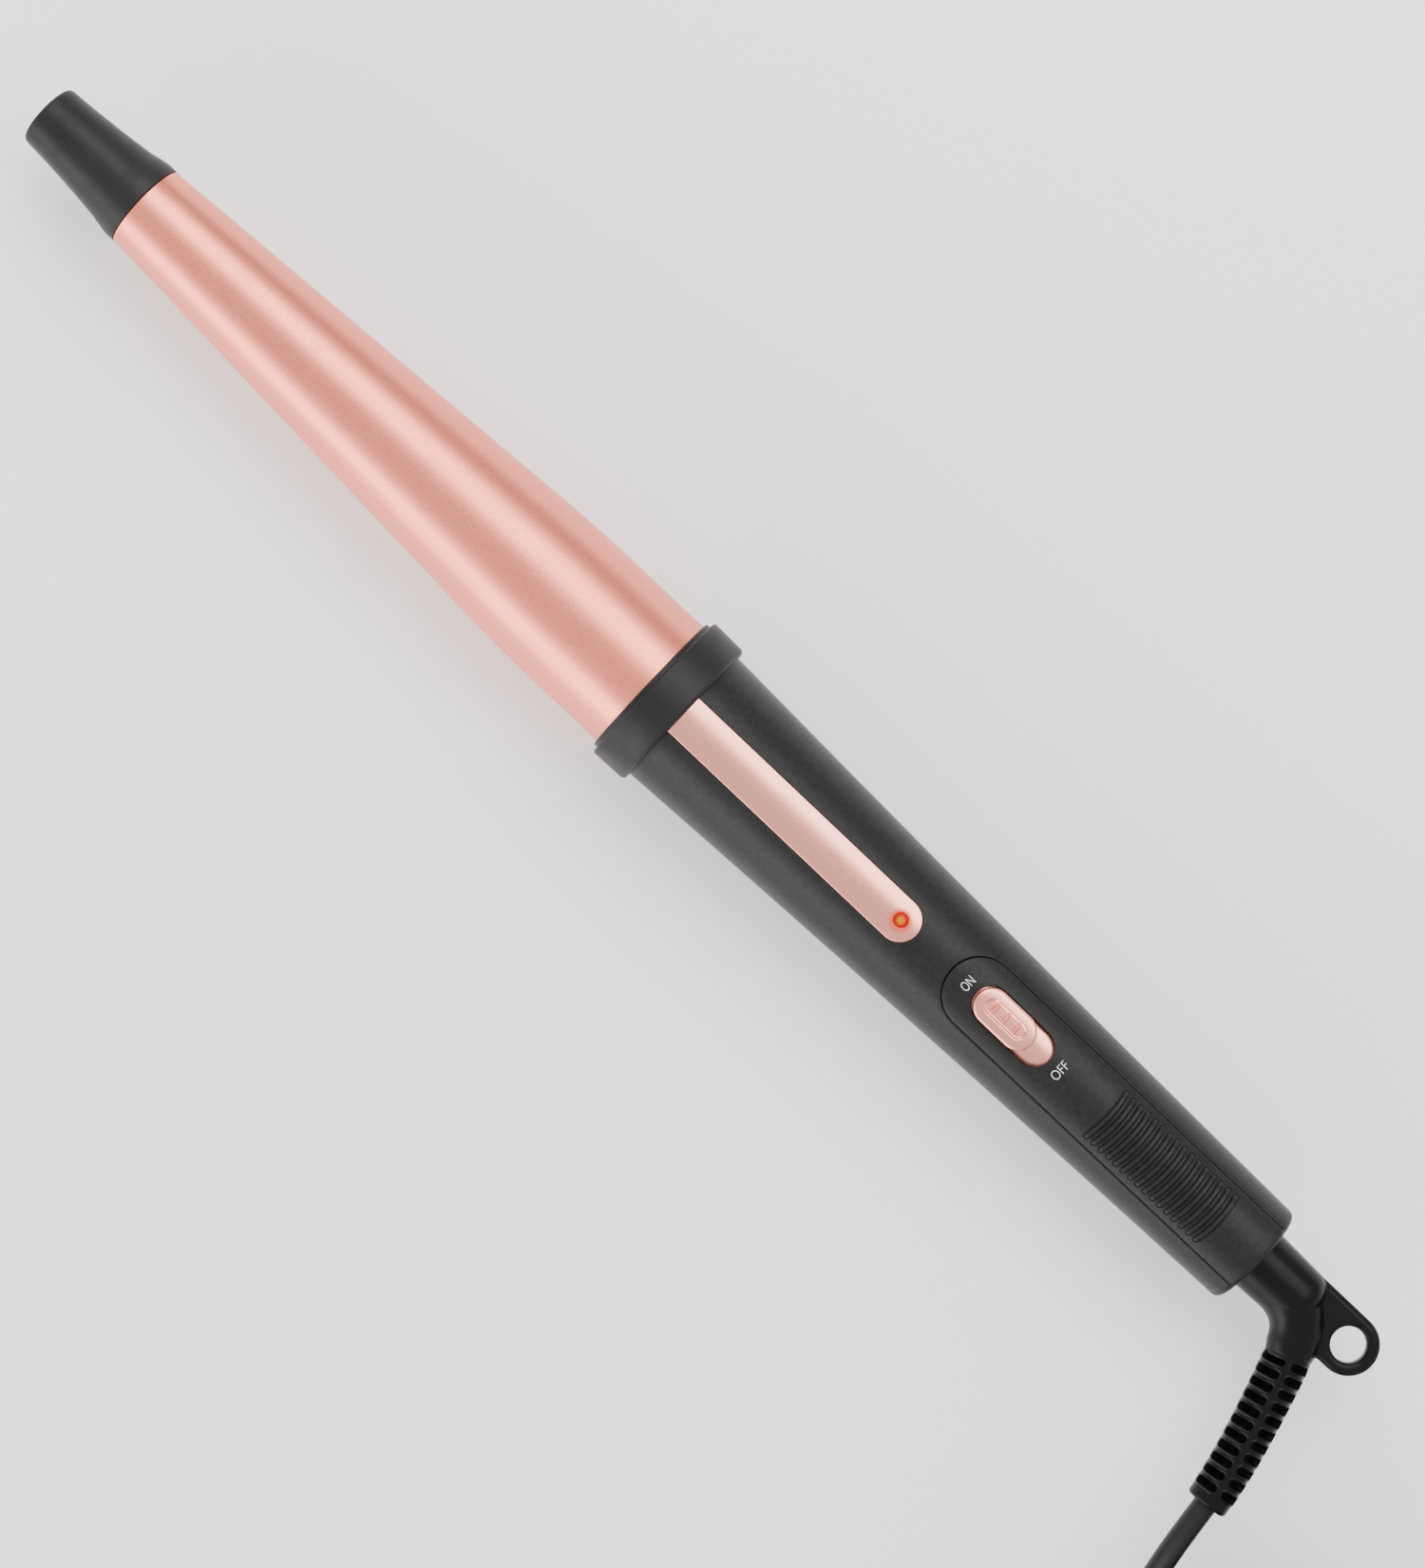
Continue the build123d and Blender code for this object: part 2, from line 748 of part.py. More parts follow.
# Controller: eight-legged chip
chip_x = -82.0
chip_y = 4.4
chip_length = 4.9
chip_width = 3.9
chip_height = 1.6
chip_clearance = 0.15
chip_leg_pitch = 1.27
chip_leg_span = 4.9
chip_leg_width = 0.42
chip_leg_length = 1.1
chip_leg_height = 0.5
with BuildPart() as controller_chip:
    with BuildSketch(axis_plane.offset(board_top + chip_clearance)):
        with Locations((chip_x, chip_y)):
            Rectangle(chip_length, chip_width)
    extrude(amount=chip_height - chip_clearance)
    with BuildSketch(axis_plane.offset(board_top)):
        with Locations((chip_x, chip_y)):
            with GridLocations(chip_leg_pitch, chip_leg_span, 4, 2):
                Rectangle(chip_leg_width, chip_leg_length)
    extrude(amount=chip_leg_height)
controller_chip.part.label = "controller_chip"
export_step(controller_chip.part, "parts/controller_chip.step")

# ------------------------------------------------------------------ slide switch

switch_body_top = board_top + 5.5
lever_size = 3.0
lever_low = switch_body_top - 2
lever_top = 9.8
body_x = knob_x - switch_travel / 2

with BuildPart() as slide_switch_body:
    with BuildSketch(axis_plane.offset(board_top)):
        with Locations((body_x, 0)):
            RectangleRounded(16, 7, 0.4)
    extrude(amount=switch_body_top - board_top)
    with BuildSketch(axis_plane.offset(lever_low - 0.3)):
        with Locations((body_x, 0)):
            Rectangle(lever_size + switch_travel + 0.6, lever_size + 0.6)
    extrude(amount=3, mode=Mode.SUBTRACT)
slide_switch_body.part.label = "slide_switch_body"
export_step(slide_switch_body.part, "parts/slide_switch_body.step")

with BuildPart() as slide_switch_lever:
    with BuildSketch(axis_plane.offset(lever_low)):
        with Locations((knob_x, 0)):
            Rectangle(lever_size, lever_size)
    extrude(amount=lever_top - lever_low)
    chamfer(slide_switch_lever.edges().group_by(Axis.Z)[-1], 0.4)
slide_switch_lever.part.label = "slide_switch_lever"
export_step(slide_switch_lever.part, "parts/slide_switch_lever.step")

# Slide knob: stadium thumb piece on a curved skirt, with a fork that grips the lever
knob_top = handle_radius(knob_x) + knob_rise
knob_pocket_floor = knob_top - knob_pocket_depth
skirt_low = handle_radius(knob_x) - skirt_depth - skirt_thickness
skirt_bottom = skirt_depth + skirt_thickness
skirt_sink = 0.3
knob_body_bottom = skirt_low + skirt_sink
prong_bottom = lever_top - 2.6
knob_outline = stadium(knob_x, knob_length, knob_width, knob_body_bottom)
knob_pocket = stadium(knob_x, knob_pocket_length, knob_pocket_width, knob_pocket_floor)
with BuildPart() as switch_knob:
    extrude(knob_outline, amount=knob_top - knob_body_bottom)
    fillet(switch_knob.edges().group_by(Axis.Z)[-1], knob_edge_round)
    extrude(knob_pocket, amount=knob_rise, mode=Mode.SUBTRACT)
    with BuildSketch(axis_plane.offset(knob_pocket_floor)):
        with Locations((knob_x, 0)):
            with GridLocations(knob_bar_pitch, 0, 3, 1):
                Rectangle(knob_bar_width, knob_bar_length)
    extrude(amount=knob_bar_height)
    add(handle_patch(skirt_depth, skirt_bottom, stadium(skirt_x, skirt_length, skirt_width)))
    with BuildSketch(axis_plane.offset(prong_bottom)):
        with Locations((knob_x, 0)):
            with GridLocations(lever_size + prong + prong_gap, 0, 2, 1):
                Rectangle(prong, prong_width)
    extrude(amount=skirt_low + skirt_sink - prong_bottom)
switch_knob.part.label = "switch_knob"
export_step(switch_knob.part, "parts/switch_knob.step")

# ------------------------------------------------------------------ cord swivel

wall_inside = handle_rear + end_wall
flange_rear = wall_inside + end_play
flange_front = flange_rear + flange_thickness
retainer_rear = flange_front + end_play
retainer_front = retainer_rear + retainer_thickness

# Retainer: ring fixed in the handle, in front of the swivel's flange
with BuildPart() as swivel_retainer:
    with BuildSketch(cross_plane(retainer_rear)):
        Circle(handle_radius(retainer_front) - handle_wall - 0.15)
        Circle(spindle_radius + 2.4, mode=Mode.SUBTRACT)
    extrude(amount=retainer_thickness)
swivel_retainer.part.label = "swivel_retainer"
export_step(swivel_retainer.part, "parts/swivel_retainer.step")

# Spindle that carries the slip rings, with an insulating disc between them
ring_rear_x = -158.5
ring_front_x = -151.5
ring_rear_radius = 4.6
ring_front_radius = 5.4
with BuildPart() as swivel_spindle:
    with BuildSketch(cross_plane(flange_front)):
        Circle(spindle_radius)
    extrude(amount=spindle_front - flange_front)
    with BuildSketch(cross_plane(ring_rear_x + ring_width)):
        Circle(ring_rear_radius + 0.4)
    extrude(amount=ring_front_x - ring_rear_x - ring_width)
    chamfer(swivel_spindle.edges().filter_by(GeomType.CIRCLE).sort_by(Axis.X)[-1], 0.6)
swivel_spindle.part.label = "swivel_spindle"
export_step(swivel_spindle.part, "parts/swivel_spindle.step")

with BuildPart() as slip_rings:
    for ring_x, ring_radius in ((ring_rear_x, ring_rear_radius), (ring_front_x, ring_front_radius)):
        with BuildSketch(cross_plane(ring_x)):
            Circle(ring_radius)
            Circle(spindle_radius, mode=Mode.SUBTRACT)
        extrude(amount=ring_width)
slip_rings.part.label = "slip_rings"
export_step(slip_rings.part, "parts/slip_rings.step")

# Contact brushes: a leaf over each slip ring, held by the retainer
brush_gap = 0.15
brush_thickness = 0.4
with BuildPart() as contact_brushes:
    for side, ring_x, ring_radius in (
        (1, ring_rear_x, ring_rear_radius),
        (-1, ring_front_x, ring_front_radius),
    ):
        brush_length = ring_x + ring_width - retainer_front
        leaf = side * (ring_radius + brush_gap + brush_thickness / 2)
        with BuildSketch(cross_plane(retainer_front)):
            with Locations((0, leaf)):
                Rectangle(3.6, brush_thickness)
        extrude(amount=brush_length)
        foot = side * (ring_radius + brush_gap + 1.4)
        with BuildSketch(cross_plane(retainer_front)):
            with Locations((0, foot)):
                Rectangle(3.6, 2.8)
        extrude(amount=brush_thickness)
contact_brushes.part.label = "contact_brushes"
export_step(contact_brushes.part, "parts/contact_brushes.step")

# Mains leads from the brushes to the board
with BuildPart() as mains_leads:
    for side in (1, -1):
        with BuildLine() as mains_run:
            FilletPolyline(
                (retainer_front + 1.2, side * 5.6, axis_height + 4.4),
                (-150, side * 6.6, axis_height + 4.4),
                (-134, side * 6.2, axis_height + board_top + lead_radius),
                (board_rear + 4, side * 6.2, axis_height + board_top + lead_radius),
                radius=7,
            )
        with BuildSketch(Plane(origin=mains_run.line @ 0, z_dir=mains_run.line % 0)):
            Circle(lead_radius)
        sweep(path=mains_run.line)
mains_leads.part.label = "mains_leads"
export_step(mains_leads.part, "parts/mains_leads.step")

# Swivel elbow: flange, neck, elbow and flat hanging loop in one moulding
loop_x = handle_rear - loop_behind
elbow_corner = (handle_rear - elbow_behind, 0)
boot_corner = (handle_rear - 26.4, 33.0)
boot_end = (handle_rear - 27.5, 43.9)
boot_heading = Vector(*boot_corner) - Vector(*elbow_corner)
boot_start = Vector(*elbow_corner) + boot_heading.normalized() * boot_reach
loop_root_x = handle_rear - loop_root

with BuildPart() as swivel_elbow:
    with BuildSketch(side_plane) as neck_half:
        with BuildLine():
            Polyline(
                (flange_front, 0),
                (flange_front, flange_radius),
                (flange_rear, flange_radius),
                (flange_rear, neck_radius),
                (handle_rear, neck_radius),
                (handle_rear - neck_length, neck_end_radius),
                (handle_rear - neck_length, 0),
                close=True,
            )
        make_face()
        fillet(neck_half.vertices().group_by(Axis.X)[0].sort_by(Axis.Y)[-1], neck_end_round)
    revolve(axis=wand_axis)
    with BuildLine(axis_plane) as elbow_run:
        FilletPolyline(
            (handle_rear - elbow_bend_radius, 0),
            elbow_corner,
            (boot_start.X, boot_start.Y),
            radius=elbow_bend_radius,
        )
    with BuildSketch(Plane(origin=elbow_run.line @ 0, z_dir=elbow_run.line % 0)):
        Circle(elbow_radius)
    sweep(path=elbow_run.line)
    with BuildSketch(axis_plane):
        with Locations((loop_x, 0)):
            Circle(loop_radius)
        with Locations(((loop_x + loop_root_x) / 2, 0)):
            Rectangle(loop_root_x - loop_x, 2 * loop_radius)
        with Locations((loop_x, 0)):
            Circle(loop_hole_radius, mode=Mode.SUBTRACT)
    extrude(amount=loop_thickness / 2, both=True)
    with BuildSketch(axis_plane):
        with Locations((loop_x, 0)):
            Circle(loop_hole_radius)
    extrude(amount=neck_radius, both=True, mode=Mode.SUBTRACT)
swivel_elbow.part.label = "swivel_elbow"
export_step(swivel_elbow.part, "parts/swivel_elbow.step")

# Bend relief boot: tapered sleeve with rows of slots, four to a station
with BuildPart() as bend_relief:
    with BuildLine(axis_plane) as boot_run:
        FilletPolyline((boot_start.X, boot_start.Y), boot_corner, boot_end, radius=boot_bend_radius)
    for along, radius in ((0, boot_start_radius), (1, boot_end_radius)):
        with BuildSketch(Plane(origin=boot_run.line @ along, z_dir=boot_run.line % along)):
            Circle(radius)
    sweep(path=boot_run.line, multisection=True)
    boot_length = boot_run.wire().length
    for station in range(boot_slots):
        along = 1 - (boot_first_slot + station * boot_slot_pitch) / boot_length
        if along * boot_length > boot_least_end:
            station_plane = Plane(
                origin=boot_run.line @ along, x_dir=(0, 0, 1), z_dir=boot_run.line % along
            )
            with BuildSketch(station_plane):
                Circle(1.5 * boot_start_radius)
                Circle(boot_bore_radius, mode=Mode.SUBTRACT)
                Rectangle(boot_rib_width, 4 * boot_start_radius, mode=Mode.SUBTRACT)
                Rectangle(4 * boot_start_radius, boot_rib_width, mode=Mode.SUBTRACT)
            extrude(amount=boot_slot_width / 2, both=True, mode=Mode.SUBTRACT)
bend_relief.part.label = "bend_relief"
export_step(bend_relief.part, "parts/bend_relief.step")

# ------------------------------------------------------------------ cord and plug

boot_way = (Vector(*boot_end) - Vector(*boot_corner)).normalized()


def on_coil(angle, z):
    """Point on the outer turn of the coil."""
    turn = math.radians(angle)
    return (
        coil_x + coil_outer_turn * math.cos(turn),
        coil_y + coil_outer_turn * math.sin(turn),
        z,
    )


def coil_way(angle):
    """Direction in which the cord runs round the coil, anticlockwise from above."""
    turn = math.radians(angle)
    return Vector(-math.sin(turn), math.cos(turn), 0)


coil_start = Vector(*on_coil(coil_start_angle, coil_top_z))
coil_end = Vector(*on_coil(coil_end_angle, coil_low_z))
before_coil = coil_start - coil_way(coil_start_angle) * 8.5
after_coil = coil_end + coil_way(coil_end_angle) * 8.0
lead_points = [
    (boot_end[0], boot_end[1], axis_height),
    (boot_end[0] + 8.5 * boot_way.X, boot_end[1] + 8.5 * boot_way.Y, axis_height),
    (-200.0, 63.2, 20.0),
    (-202.6, 74.6, 23.4),
    (before_coil.X, before_coil.Y, before_coil.Z),
    (coil_start.X, coil_start.Y, coil_start.Z),
]
tail_points = [
    (coil_end.X, coil_end.Y, coil_end.Z),
    (after_coil.X, after_coil.Y, after_coil.Z),
    (-272.4, 61.4, 4.5),
    (-269.3, 52.6, 7.1),
    (plug_x, 44.0, plug_z),
    (plug_x, plug_relief_start, plug_z),
]

with BuildPart() as cord_lead:
    with BuildLine() as lead_way:
        cord_path(lead_points)
    with BuildSketch(Plane(origin=lead_way.line @ 0, z_dir=lead_way.line % 0)):
        Circle(cord_radius)
    sweep(path=lead_way.line)
cord_lead.part.label = "cord_lead"
export_step(cord_lead.part, "parts/cord_lead.step")

with BuildPart() as cord_tail:
    with BuildLine() as tail_way:
        cord_path(tail_points)
    with BuildSketch(Plane(origin=tail_way.line @ 0, z_dir=tail_way.line % 0)):
        Circle(cord_radius)
    sweep(path=tail_way.line)
cord_tail.part.label = "cord_tail"
export_step(cord_tail.part, "parts/cord_tail.step")

# Coil: the outer shape of the wound turns, two side by side in each layer and one turn on top
coil_middle_radius = (coil_inner_turn + coil_outer_turn) / 2


with BuildSketch() as bundle_section:
    with Locations((0, full_height / 2)):
        RectangleRounded(4 * cord_radius, full_height, turn_round)
    with Locations((cord_radius, coil_height / 2)):
        RectangleRounded(2 * cord_radius, coil_height, turn_round)
coil_plane = Plane(
    origin=(coil_x + coil_middle_radius, coil_y, coil_base),
    x_dir=(1, 0, 0),
    z_dir=(0, -1, 0),
)
with BuildPart() as cord_coil:
    with BuildSketch(coil_plane):
        add(bundle_section.sketch)
    revolve(axis=Axis((coil_x, coil_y, 0), (0, 0, 1)))
cord_coil.part.label = "cord_coil"
export_step(cord_coil.part, "parts/cord_coil.step")

# Tie: a strap pulled tight round the bundle
tie_turn = math.radians(tie_angle)
tie_plane = Plane(
    origin=(
        coil_x + coil_middle_radius * math.cos(tie_turn),
        coil_y + coil_middle_radius * math.sin(tie_turn),
        coil_base,
    ),
    x_dir=(math.cos(tie_turn), math.sin(tie_turn), 0),
    z_dir=(math.sin(tie_turn), -math.cos(tie_turn), 0),
)
with BuildSketch() as strap_inside:
    add(bundle_section.sketch)
    make_hull()
with BuildPart() as cord_tie:
    with BuildSketch(tie_plane):
        add(strap_inside.sketch)
        offset(amount=tie_thickness)
        add(strap_inside.sketch, mode=Mode.SUBTRACT)
    extrude(amount=tie_width / 2, both=True)
cord_tie.part.label = "cord_tie"
export_step(cord_tie.part, "parts/cord_tie.step")

# Plug: grip body with a tapered bend relief, lying on the surface, blades away from the coil
plug_back = plug_relief_start - plug_relief_length
plug_face = plug_back - plug_length


def plug_plane(y):
    """Plane across the plug at y: local x along +X, local y up."""
    return Plane(origin=(plug_x, y, plug_z), x_dir=(1, 0, 0), z_dir=(0, -1, 0))


with BuildPart() as plug_body:
    with BuildSketch(plug_plane(plug_back)):
        RectangleRounded(plug_back_width, plug_back_height, plug_back_round)
    with BuildSketch(plug_plane(plug_face + plug_flat_length)):
        RectangleRounded(plug_width, plug_height, plug_round)
    loft()
    with BuildSketch(plug_plane(plug_face + plug_flat_length)):
        RectangleRounded(plug_width, plug_height, plug_round)
    extrude(amount=plug_flat_length)
    fillet(plug_body.edges().group_by(Axis.Y)[0], plug_edge_round)
    with BuildSketch(plug_plane(plug_relief_start)):
        Circle(plug_relief_tip_radius)
    with BuildSketch(plug_plane(plug_back - plug_relief_overlap)):
        Circle(plug_relief_root_radius)
    loft()
plug_body.part.label = "plug_body"
export_step(plug_body.part, "parts/plug_body.step")

blade_hole_plane = Plane(
    origin=(plug_x, plug_face - blade_length + blade_hole_inset, plug_z),
    x_dir=(0, 1, 0),
    z_dir=(1, 0, 0),
)
with BuildPart() as plug_blades:
    with BuildSketch(plug_plane(plug_face)):
        with GridLocations(blade_spacing, 0, 2, 1):
            Rectangle(blade_thickness, blade_width)
    extrude(amount=blade_length)
    chamfer(plug_blades.edges().group_by(Axis.Y)[0], blade_chamfer)
    with BuildSketch(blade_hole_plane):
        Circle(blade_hole_radius)
    extrude(amount=blade_spacing, both=True, mode=Mode.SUBTRACT)
plug_blades.part.label = "plug_blades"
export_step(plug_blades.part, "parts/plug_blades.step")

for name, piece, way in (("lead", cord_lead, lead_way), ("tail", cord_tail, tail_way)):
    expected = math.pi * cord_radius**2 * way.wire().length
    ratio = round(piece.part.volume / expected, 4)
    print(name, "length", round(way.wire().length, 1), "volume ratio", ratio)
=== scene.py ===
"""Looks of the curling wand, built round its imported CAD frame.

Shapes are worked out in millimetres in the frame's axes and written to meshes in metres.
"""

import json
import math

import bmesh
import bpy
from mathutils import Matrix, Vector, geometry, kdtree


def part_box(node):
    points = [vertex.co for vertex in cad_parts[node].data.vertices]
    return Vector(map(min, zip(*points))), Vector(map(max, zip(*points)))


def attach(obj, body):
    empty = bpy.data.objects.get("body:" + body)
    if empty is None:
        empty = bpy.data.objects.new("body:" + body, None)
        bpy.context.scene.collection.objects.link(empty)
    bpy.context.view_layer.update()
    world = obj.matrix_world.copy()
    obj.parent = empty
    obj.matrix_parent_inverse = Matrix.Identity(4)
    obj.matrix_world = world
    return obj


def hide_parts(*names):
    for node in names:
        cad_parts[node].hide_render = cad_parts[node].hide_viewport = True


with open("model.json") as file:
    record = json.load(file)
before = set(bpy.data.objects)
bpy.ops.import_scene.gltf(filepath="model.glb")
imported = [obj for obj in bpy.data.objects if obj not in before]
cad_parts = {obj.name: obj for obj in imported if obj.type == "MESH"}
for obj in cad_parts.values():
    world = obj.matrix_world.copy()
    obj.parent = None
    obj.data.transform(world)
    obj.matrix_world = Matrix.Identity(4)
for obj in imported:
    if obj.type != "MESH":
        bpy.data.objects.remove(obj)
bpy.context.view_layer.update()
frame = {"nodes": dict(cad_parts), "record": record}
mm = 0.001


def span(node):
    """Lowest and highest corner of a CAD node, in millimetres."""
    low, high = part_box(node)
    return low / mm, high / mm


barrel_low, barrel_high = span("heating_barrel")
handle_low, handle_high = span("handle_shell")
lens_low, lens_high = span("led_lens")
tip_front = span("cool_tip")[1].x
collar_front = span("collar")[1].x
trim_rear = span("trim_strip")[0].x
panel_front = span("switch_panel")[1].x
plug_face = span("plug_body")[0].y
lamp_x = (lens_low.x + lens_high.x) / 2

axis_z = (barrel_low.z + barrel_high.z) / 2
up = Vector((0, 0, 1))
barrel_front, barrel_rear = barrel_high.x, barrel_low.x
handle_front, handle_rear = handle_high.x, handle_low.x
handle_length = handle_front - handle_rear
handle_radii = (16.2, 13.5, 11.65)
handle_wall = 2.0


def add_object(name, data):
    """New object in the scene."""
    made = bpy.data.objects.new(name, data)
    bpy.context.collection.objects.link(made)
    return made


# ---------- camera and cord


camera_x, camera_y = -0.0233, 0.0061
camera_height = 0.875
camera_turn = 223.4


def make_camera():
    """Straight above the wand, turned so that it lies from the upper left to the lower right."""
    data = bpy.data.cameras.new("camera")
    data.sensor_width = 36
    data.lens = 98.2
    camera = add_object("camera", data)
    camera.location = (camera_x, camera_y, axis_z * mm + camera_height)
    camera.rotation_euler = (0, 0, math.radians(camera_turn))
    bpy.context.scene.camera = camera


cord_radius = 2.6
coil_x, coil_y = -240.0, 78.0
coil_inner_turn = 28.4
coil_outer_turn = coil_inner_turn + 2 * cord_radius
coil_layers = 4
tie_thickness = 1.0
tie_angle = 260.0
coil_start_angle = 25.0
coil_end_angle = 180.0
coil_turns = 8 + (coil_end_angle - coil_start_angle) / 360
points_per_turn = 24
step_over_start = 0.8
boot_start = (-189.2, 10.07)
boot_corner = (-196.7, 33.0)
boot_end = (-197.8, 43.9)
plug_x, plug_z = -268.0, 8.0
plug_relief_start = 36.0


def layer_z(layer):
    """Height of the cord's middle in a layer of the coil, counted from the bottom one."""
    return tie_thickness + cord_radius * (1 + 2 * layer)


def smooth(t):
    """Soft step from 0 to 1."""
    t = min(max(t, 0.0), 1.0)
    return t * t * (3 - 2 * t)


def coil_points():
    """Turns from the top outer one down to the bottom, stepping over in the last part of each."""
    turns = [(coil_outer_turn, coil_layers)]
    for layer in reversed(range(coil_layers)):
        pair = [(coil_outer_turn, layer), (coil_inner_turn, layer)]
        if layer % 2 == 0:
            pair.reverse()
        turns += pair
    points = []
    count = round(coil_turns * points_per_turn)
    for step in range(1, count):
        done = step * coil_turns / count
        turn = int(done)
        radius, layer = turns[turn]
        following = turns[min(turn + 1, len(turns) - 1)]
        change = smooth((done - turn - step_over_start) / (1 - step_over_start))
        radius += (following[0] - radius) * change
        height = layer_z(layer + (following[1] - layer) * change)
        angle = math.radians(coil_start_angle + 360 * done)
        points.append((coil_x + radius * math.cos(angle), coil_y + radius * math.sin(angle), height))
    return points


def make_cord(material):
    """One NURBS curve: lead from the bend relief, the coil, and the tail to the plug."""
    start_turn = math.radians(coil_start_angle)
    start = Vector((math.cos(start_turn), math.sin(start_turn), 0)) * coil_outer_turn
    start += Vector((coil_x, coil_y, layer_z(coil_layers)))
    before = start + Vector((math.sin(start_turn), -math.cos(start_turn), 0)) * 8.5
    lead = [
        (boot_end[0], boot_end[1], axis_z),
        (-198.66, 52.36, axis_z),
        (-200.0, 63.2, 20.0),
        (-202.6, 74.6, 23.4),
        tuple(before),
        tuple(start),
    ]
    tail = [
        (coil_x - coil_outer_turn, coil_y, layer_z(0)),
        (coil_x - coil_outer_turn, coil_y - 8.0, layer_z(0)),
        (-272.4, 61.4, 4.5),
        (-269.3, 52.6, 7.1),
        (plug_x, 44.0, plug_z),
        (plug_x, plug_relief_start, plug_z),
    ]
    route = lead + coil_points() + tail
    curve = bpy.data.curves.new("mains_cord", "CURVE")
    curve.dimensions = "3D"
    curve.bevel_depth = cord_radius * mm
    curve.bevel_resolution = 6
    curve.resolution_u = 6
    curve.use_fill_caps = True
    spline = curve.splines.new("NURBS")
    spline.points.add(len(route) - 1)
    for point, place in zip(spline.points, route):
        point.co = (place[0] * mm, place[1] * mm, place[2] * mm, 1)
    spline.order_u = 3
    spline.use_endpoint_u = True
    cord = add_object("mains_cord", curve)
    curve.materials.append(material)
    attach(cord, "swivel")
    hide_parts("cord_lead", "cord_coil", "cord_tail")
    return cord


# ---------- materials


def new_material(name, color, roughness, metallic=0.0, **sockets):
    """Principled material; returns it with its nodes and its shader."""
    material = bpy.data.materials.new(name)
    material.use_nodes = True
    tree = material.node_tree
    shader = tree.nodes["Principled BSDF"]
    shader.inputs["Base Color"].default_value = (*color, 1)
    shader.inputs["Roughness"].default_value = roughness
    shader.inputs["Metallic"].default_value = metallic
    for socket, value in sockets.items():
        shader.inputs[socket.replace("_", " ")].default_value = value
    return material, tree, shader


def noise(tree, scale, detail=4.0, stretch=(1, 1, 1)):
    """Noise in the object's own axes; scale is in waves per metre."""
    where = tree.nodes.new("ShaderNodeTexCoord")
    mapping = tree.nodes.new("ShaderNodeMapping")
    mapping.inputs["Scale"].default_value = stretch
    texture = tree.nodes.new("ShaderNodeTexNoise")
    texture.inputs["Scale"].default_value = scale
    texture.inputs["Detail"].default_value = detail
    tree.links.new(where.outputs["Object"], mapping.inputs["Vector"])
    tree.links.new(mapping.outputs["Vector"], texture.inputs["Vector"])
    return texture.outputs["Fac"]


def between(tree, value, low, high, start=0.3, end=0.7):
    """Maps a value from start to end, by default most of a noise's range, onto low to high."""
    ramp = tree.nodes.new("ShaderNodeMapRange")
    ramp.inputs["From Min"].default_value = start
    ramp.inputs["From Max"].default_value = end
    ramp.inputs["To Min"].default_value = low
    ramp.inputs["To Max"].default_value = high
    tree.links.new(value, ramp.inputs["Value"])
    return ramp.outputs["Result"]


def two_colors(tree, value, first, last, start, end):
    """Colour that runs from the first to the last as a value goes from start to end."""
    ramp = tree.nodes.new("ShaderNodeValToRGB")
    ramp.color_ramp.elements[0].position = start
    ramp.color_ramp.elements[0].color = (*first, 1)
    ramp.color_ramp.elements[1].position = end
    ramp.color_ramp.elements[1].color = (*last, 1)
    tree.links.new(value, ramp.inputs["Fac"])
    return ramp.outputs["Color"]


def tint(tree, shader, value, dark, light, start=0.35, end=0.65):
    """Base colour that runs between two colours with a noise value."""
    color = two_colors(tree, value, dark, light, start, end)
    tree.links.new(color, shader.inputs["Base Color"])


def uneven_gloss(tree, shader, value, low, high):
    """Roughness that runs between two values with a noise value."""
    tree.links.new(between(tree, value, low, high), shader.inputs["Roughness"])


def relief(tree, shader, value, strength, height, below=None):
    """Bump of this height in metres, on top of another bump if one is given."""
    bump = tree.nodes.new("ShaderNodeBump")
    bump.inputs["Strength"].default_value = strength
    bump.inputs["Distance"].default_value = height
    tree.links.new(value, bump.inputs["Height"])
    if below is not None:
        tree.links.new(below, bump.inputs["Normal"])
    tree.links.new(bump.outputs["Normal"], shader.inputs["Normal"])
    return bump.outputs["Normal"]


def moulded(name, color, roughness, grain=2500, depth=0.00002, spread=0.25, **sockets):
    """Moulded plastic: faint cloudy colour, uneven gloss and a fine grain."""
    material, tree, shader = new_material(name, color, roughness, **sockets)
    cloud = noise(tree, 60, 3)
    tint(tree, shader, cloud, [c * (1 - spread) for c in color], [c * (1 + spread) for c in color])
    uneven_gloss(tree, shader, noise(tree, 220, 5), roughness * 0.88, min(roughness * 1.12, 1))
    relief(tree, shader, noise(tree, grain, 2), 0.35, depth)
    return material


def metal(name, color, roughness, grain=1800, stretch=(1, 1, 1), **sockets):
    """Plain metal with slight streaks in its colour and gloss."""
    material, tree, shader = new_material(name, color, roughness, 1.0, **sockets)
    streaks = noise(tree, grain, 3, stretch)
    tint(tree, shader, streaks, [c * 0.88 for c in color], [min(c * 1.06, 1) for c in color])
    uneven_gloss(tree, shader, streaks, roughness * 0.8, roughness * 1.25)
    return material


def barrel_coating():
    """Satin rose-gold ceramic paint: fine bright flake over a soft metallic ground."""
    material, tree, shader = new_material("rose_gold_coating", (0.96, 0.285, 0.195), 0.34, 1.0)
    tint(tree, shader, noise(tree, 5200, 1), (0.93, 0.225, 0.145), (0.99, 0.33, 0.23), 0.36, 0.66)
    uneven_gloss(tree, shader, noise(tree, 3100, 2), 0.29, 0.43)
    fine = relief(tree, shader, noise(tree, 4200, 2), 0.30, 0.00002)
    relief(tree, shader, noise(tree, 110, 2), 0.04, 0.0002, fine)
    return material


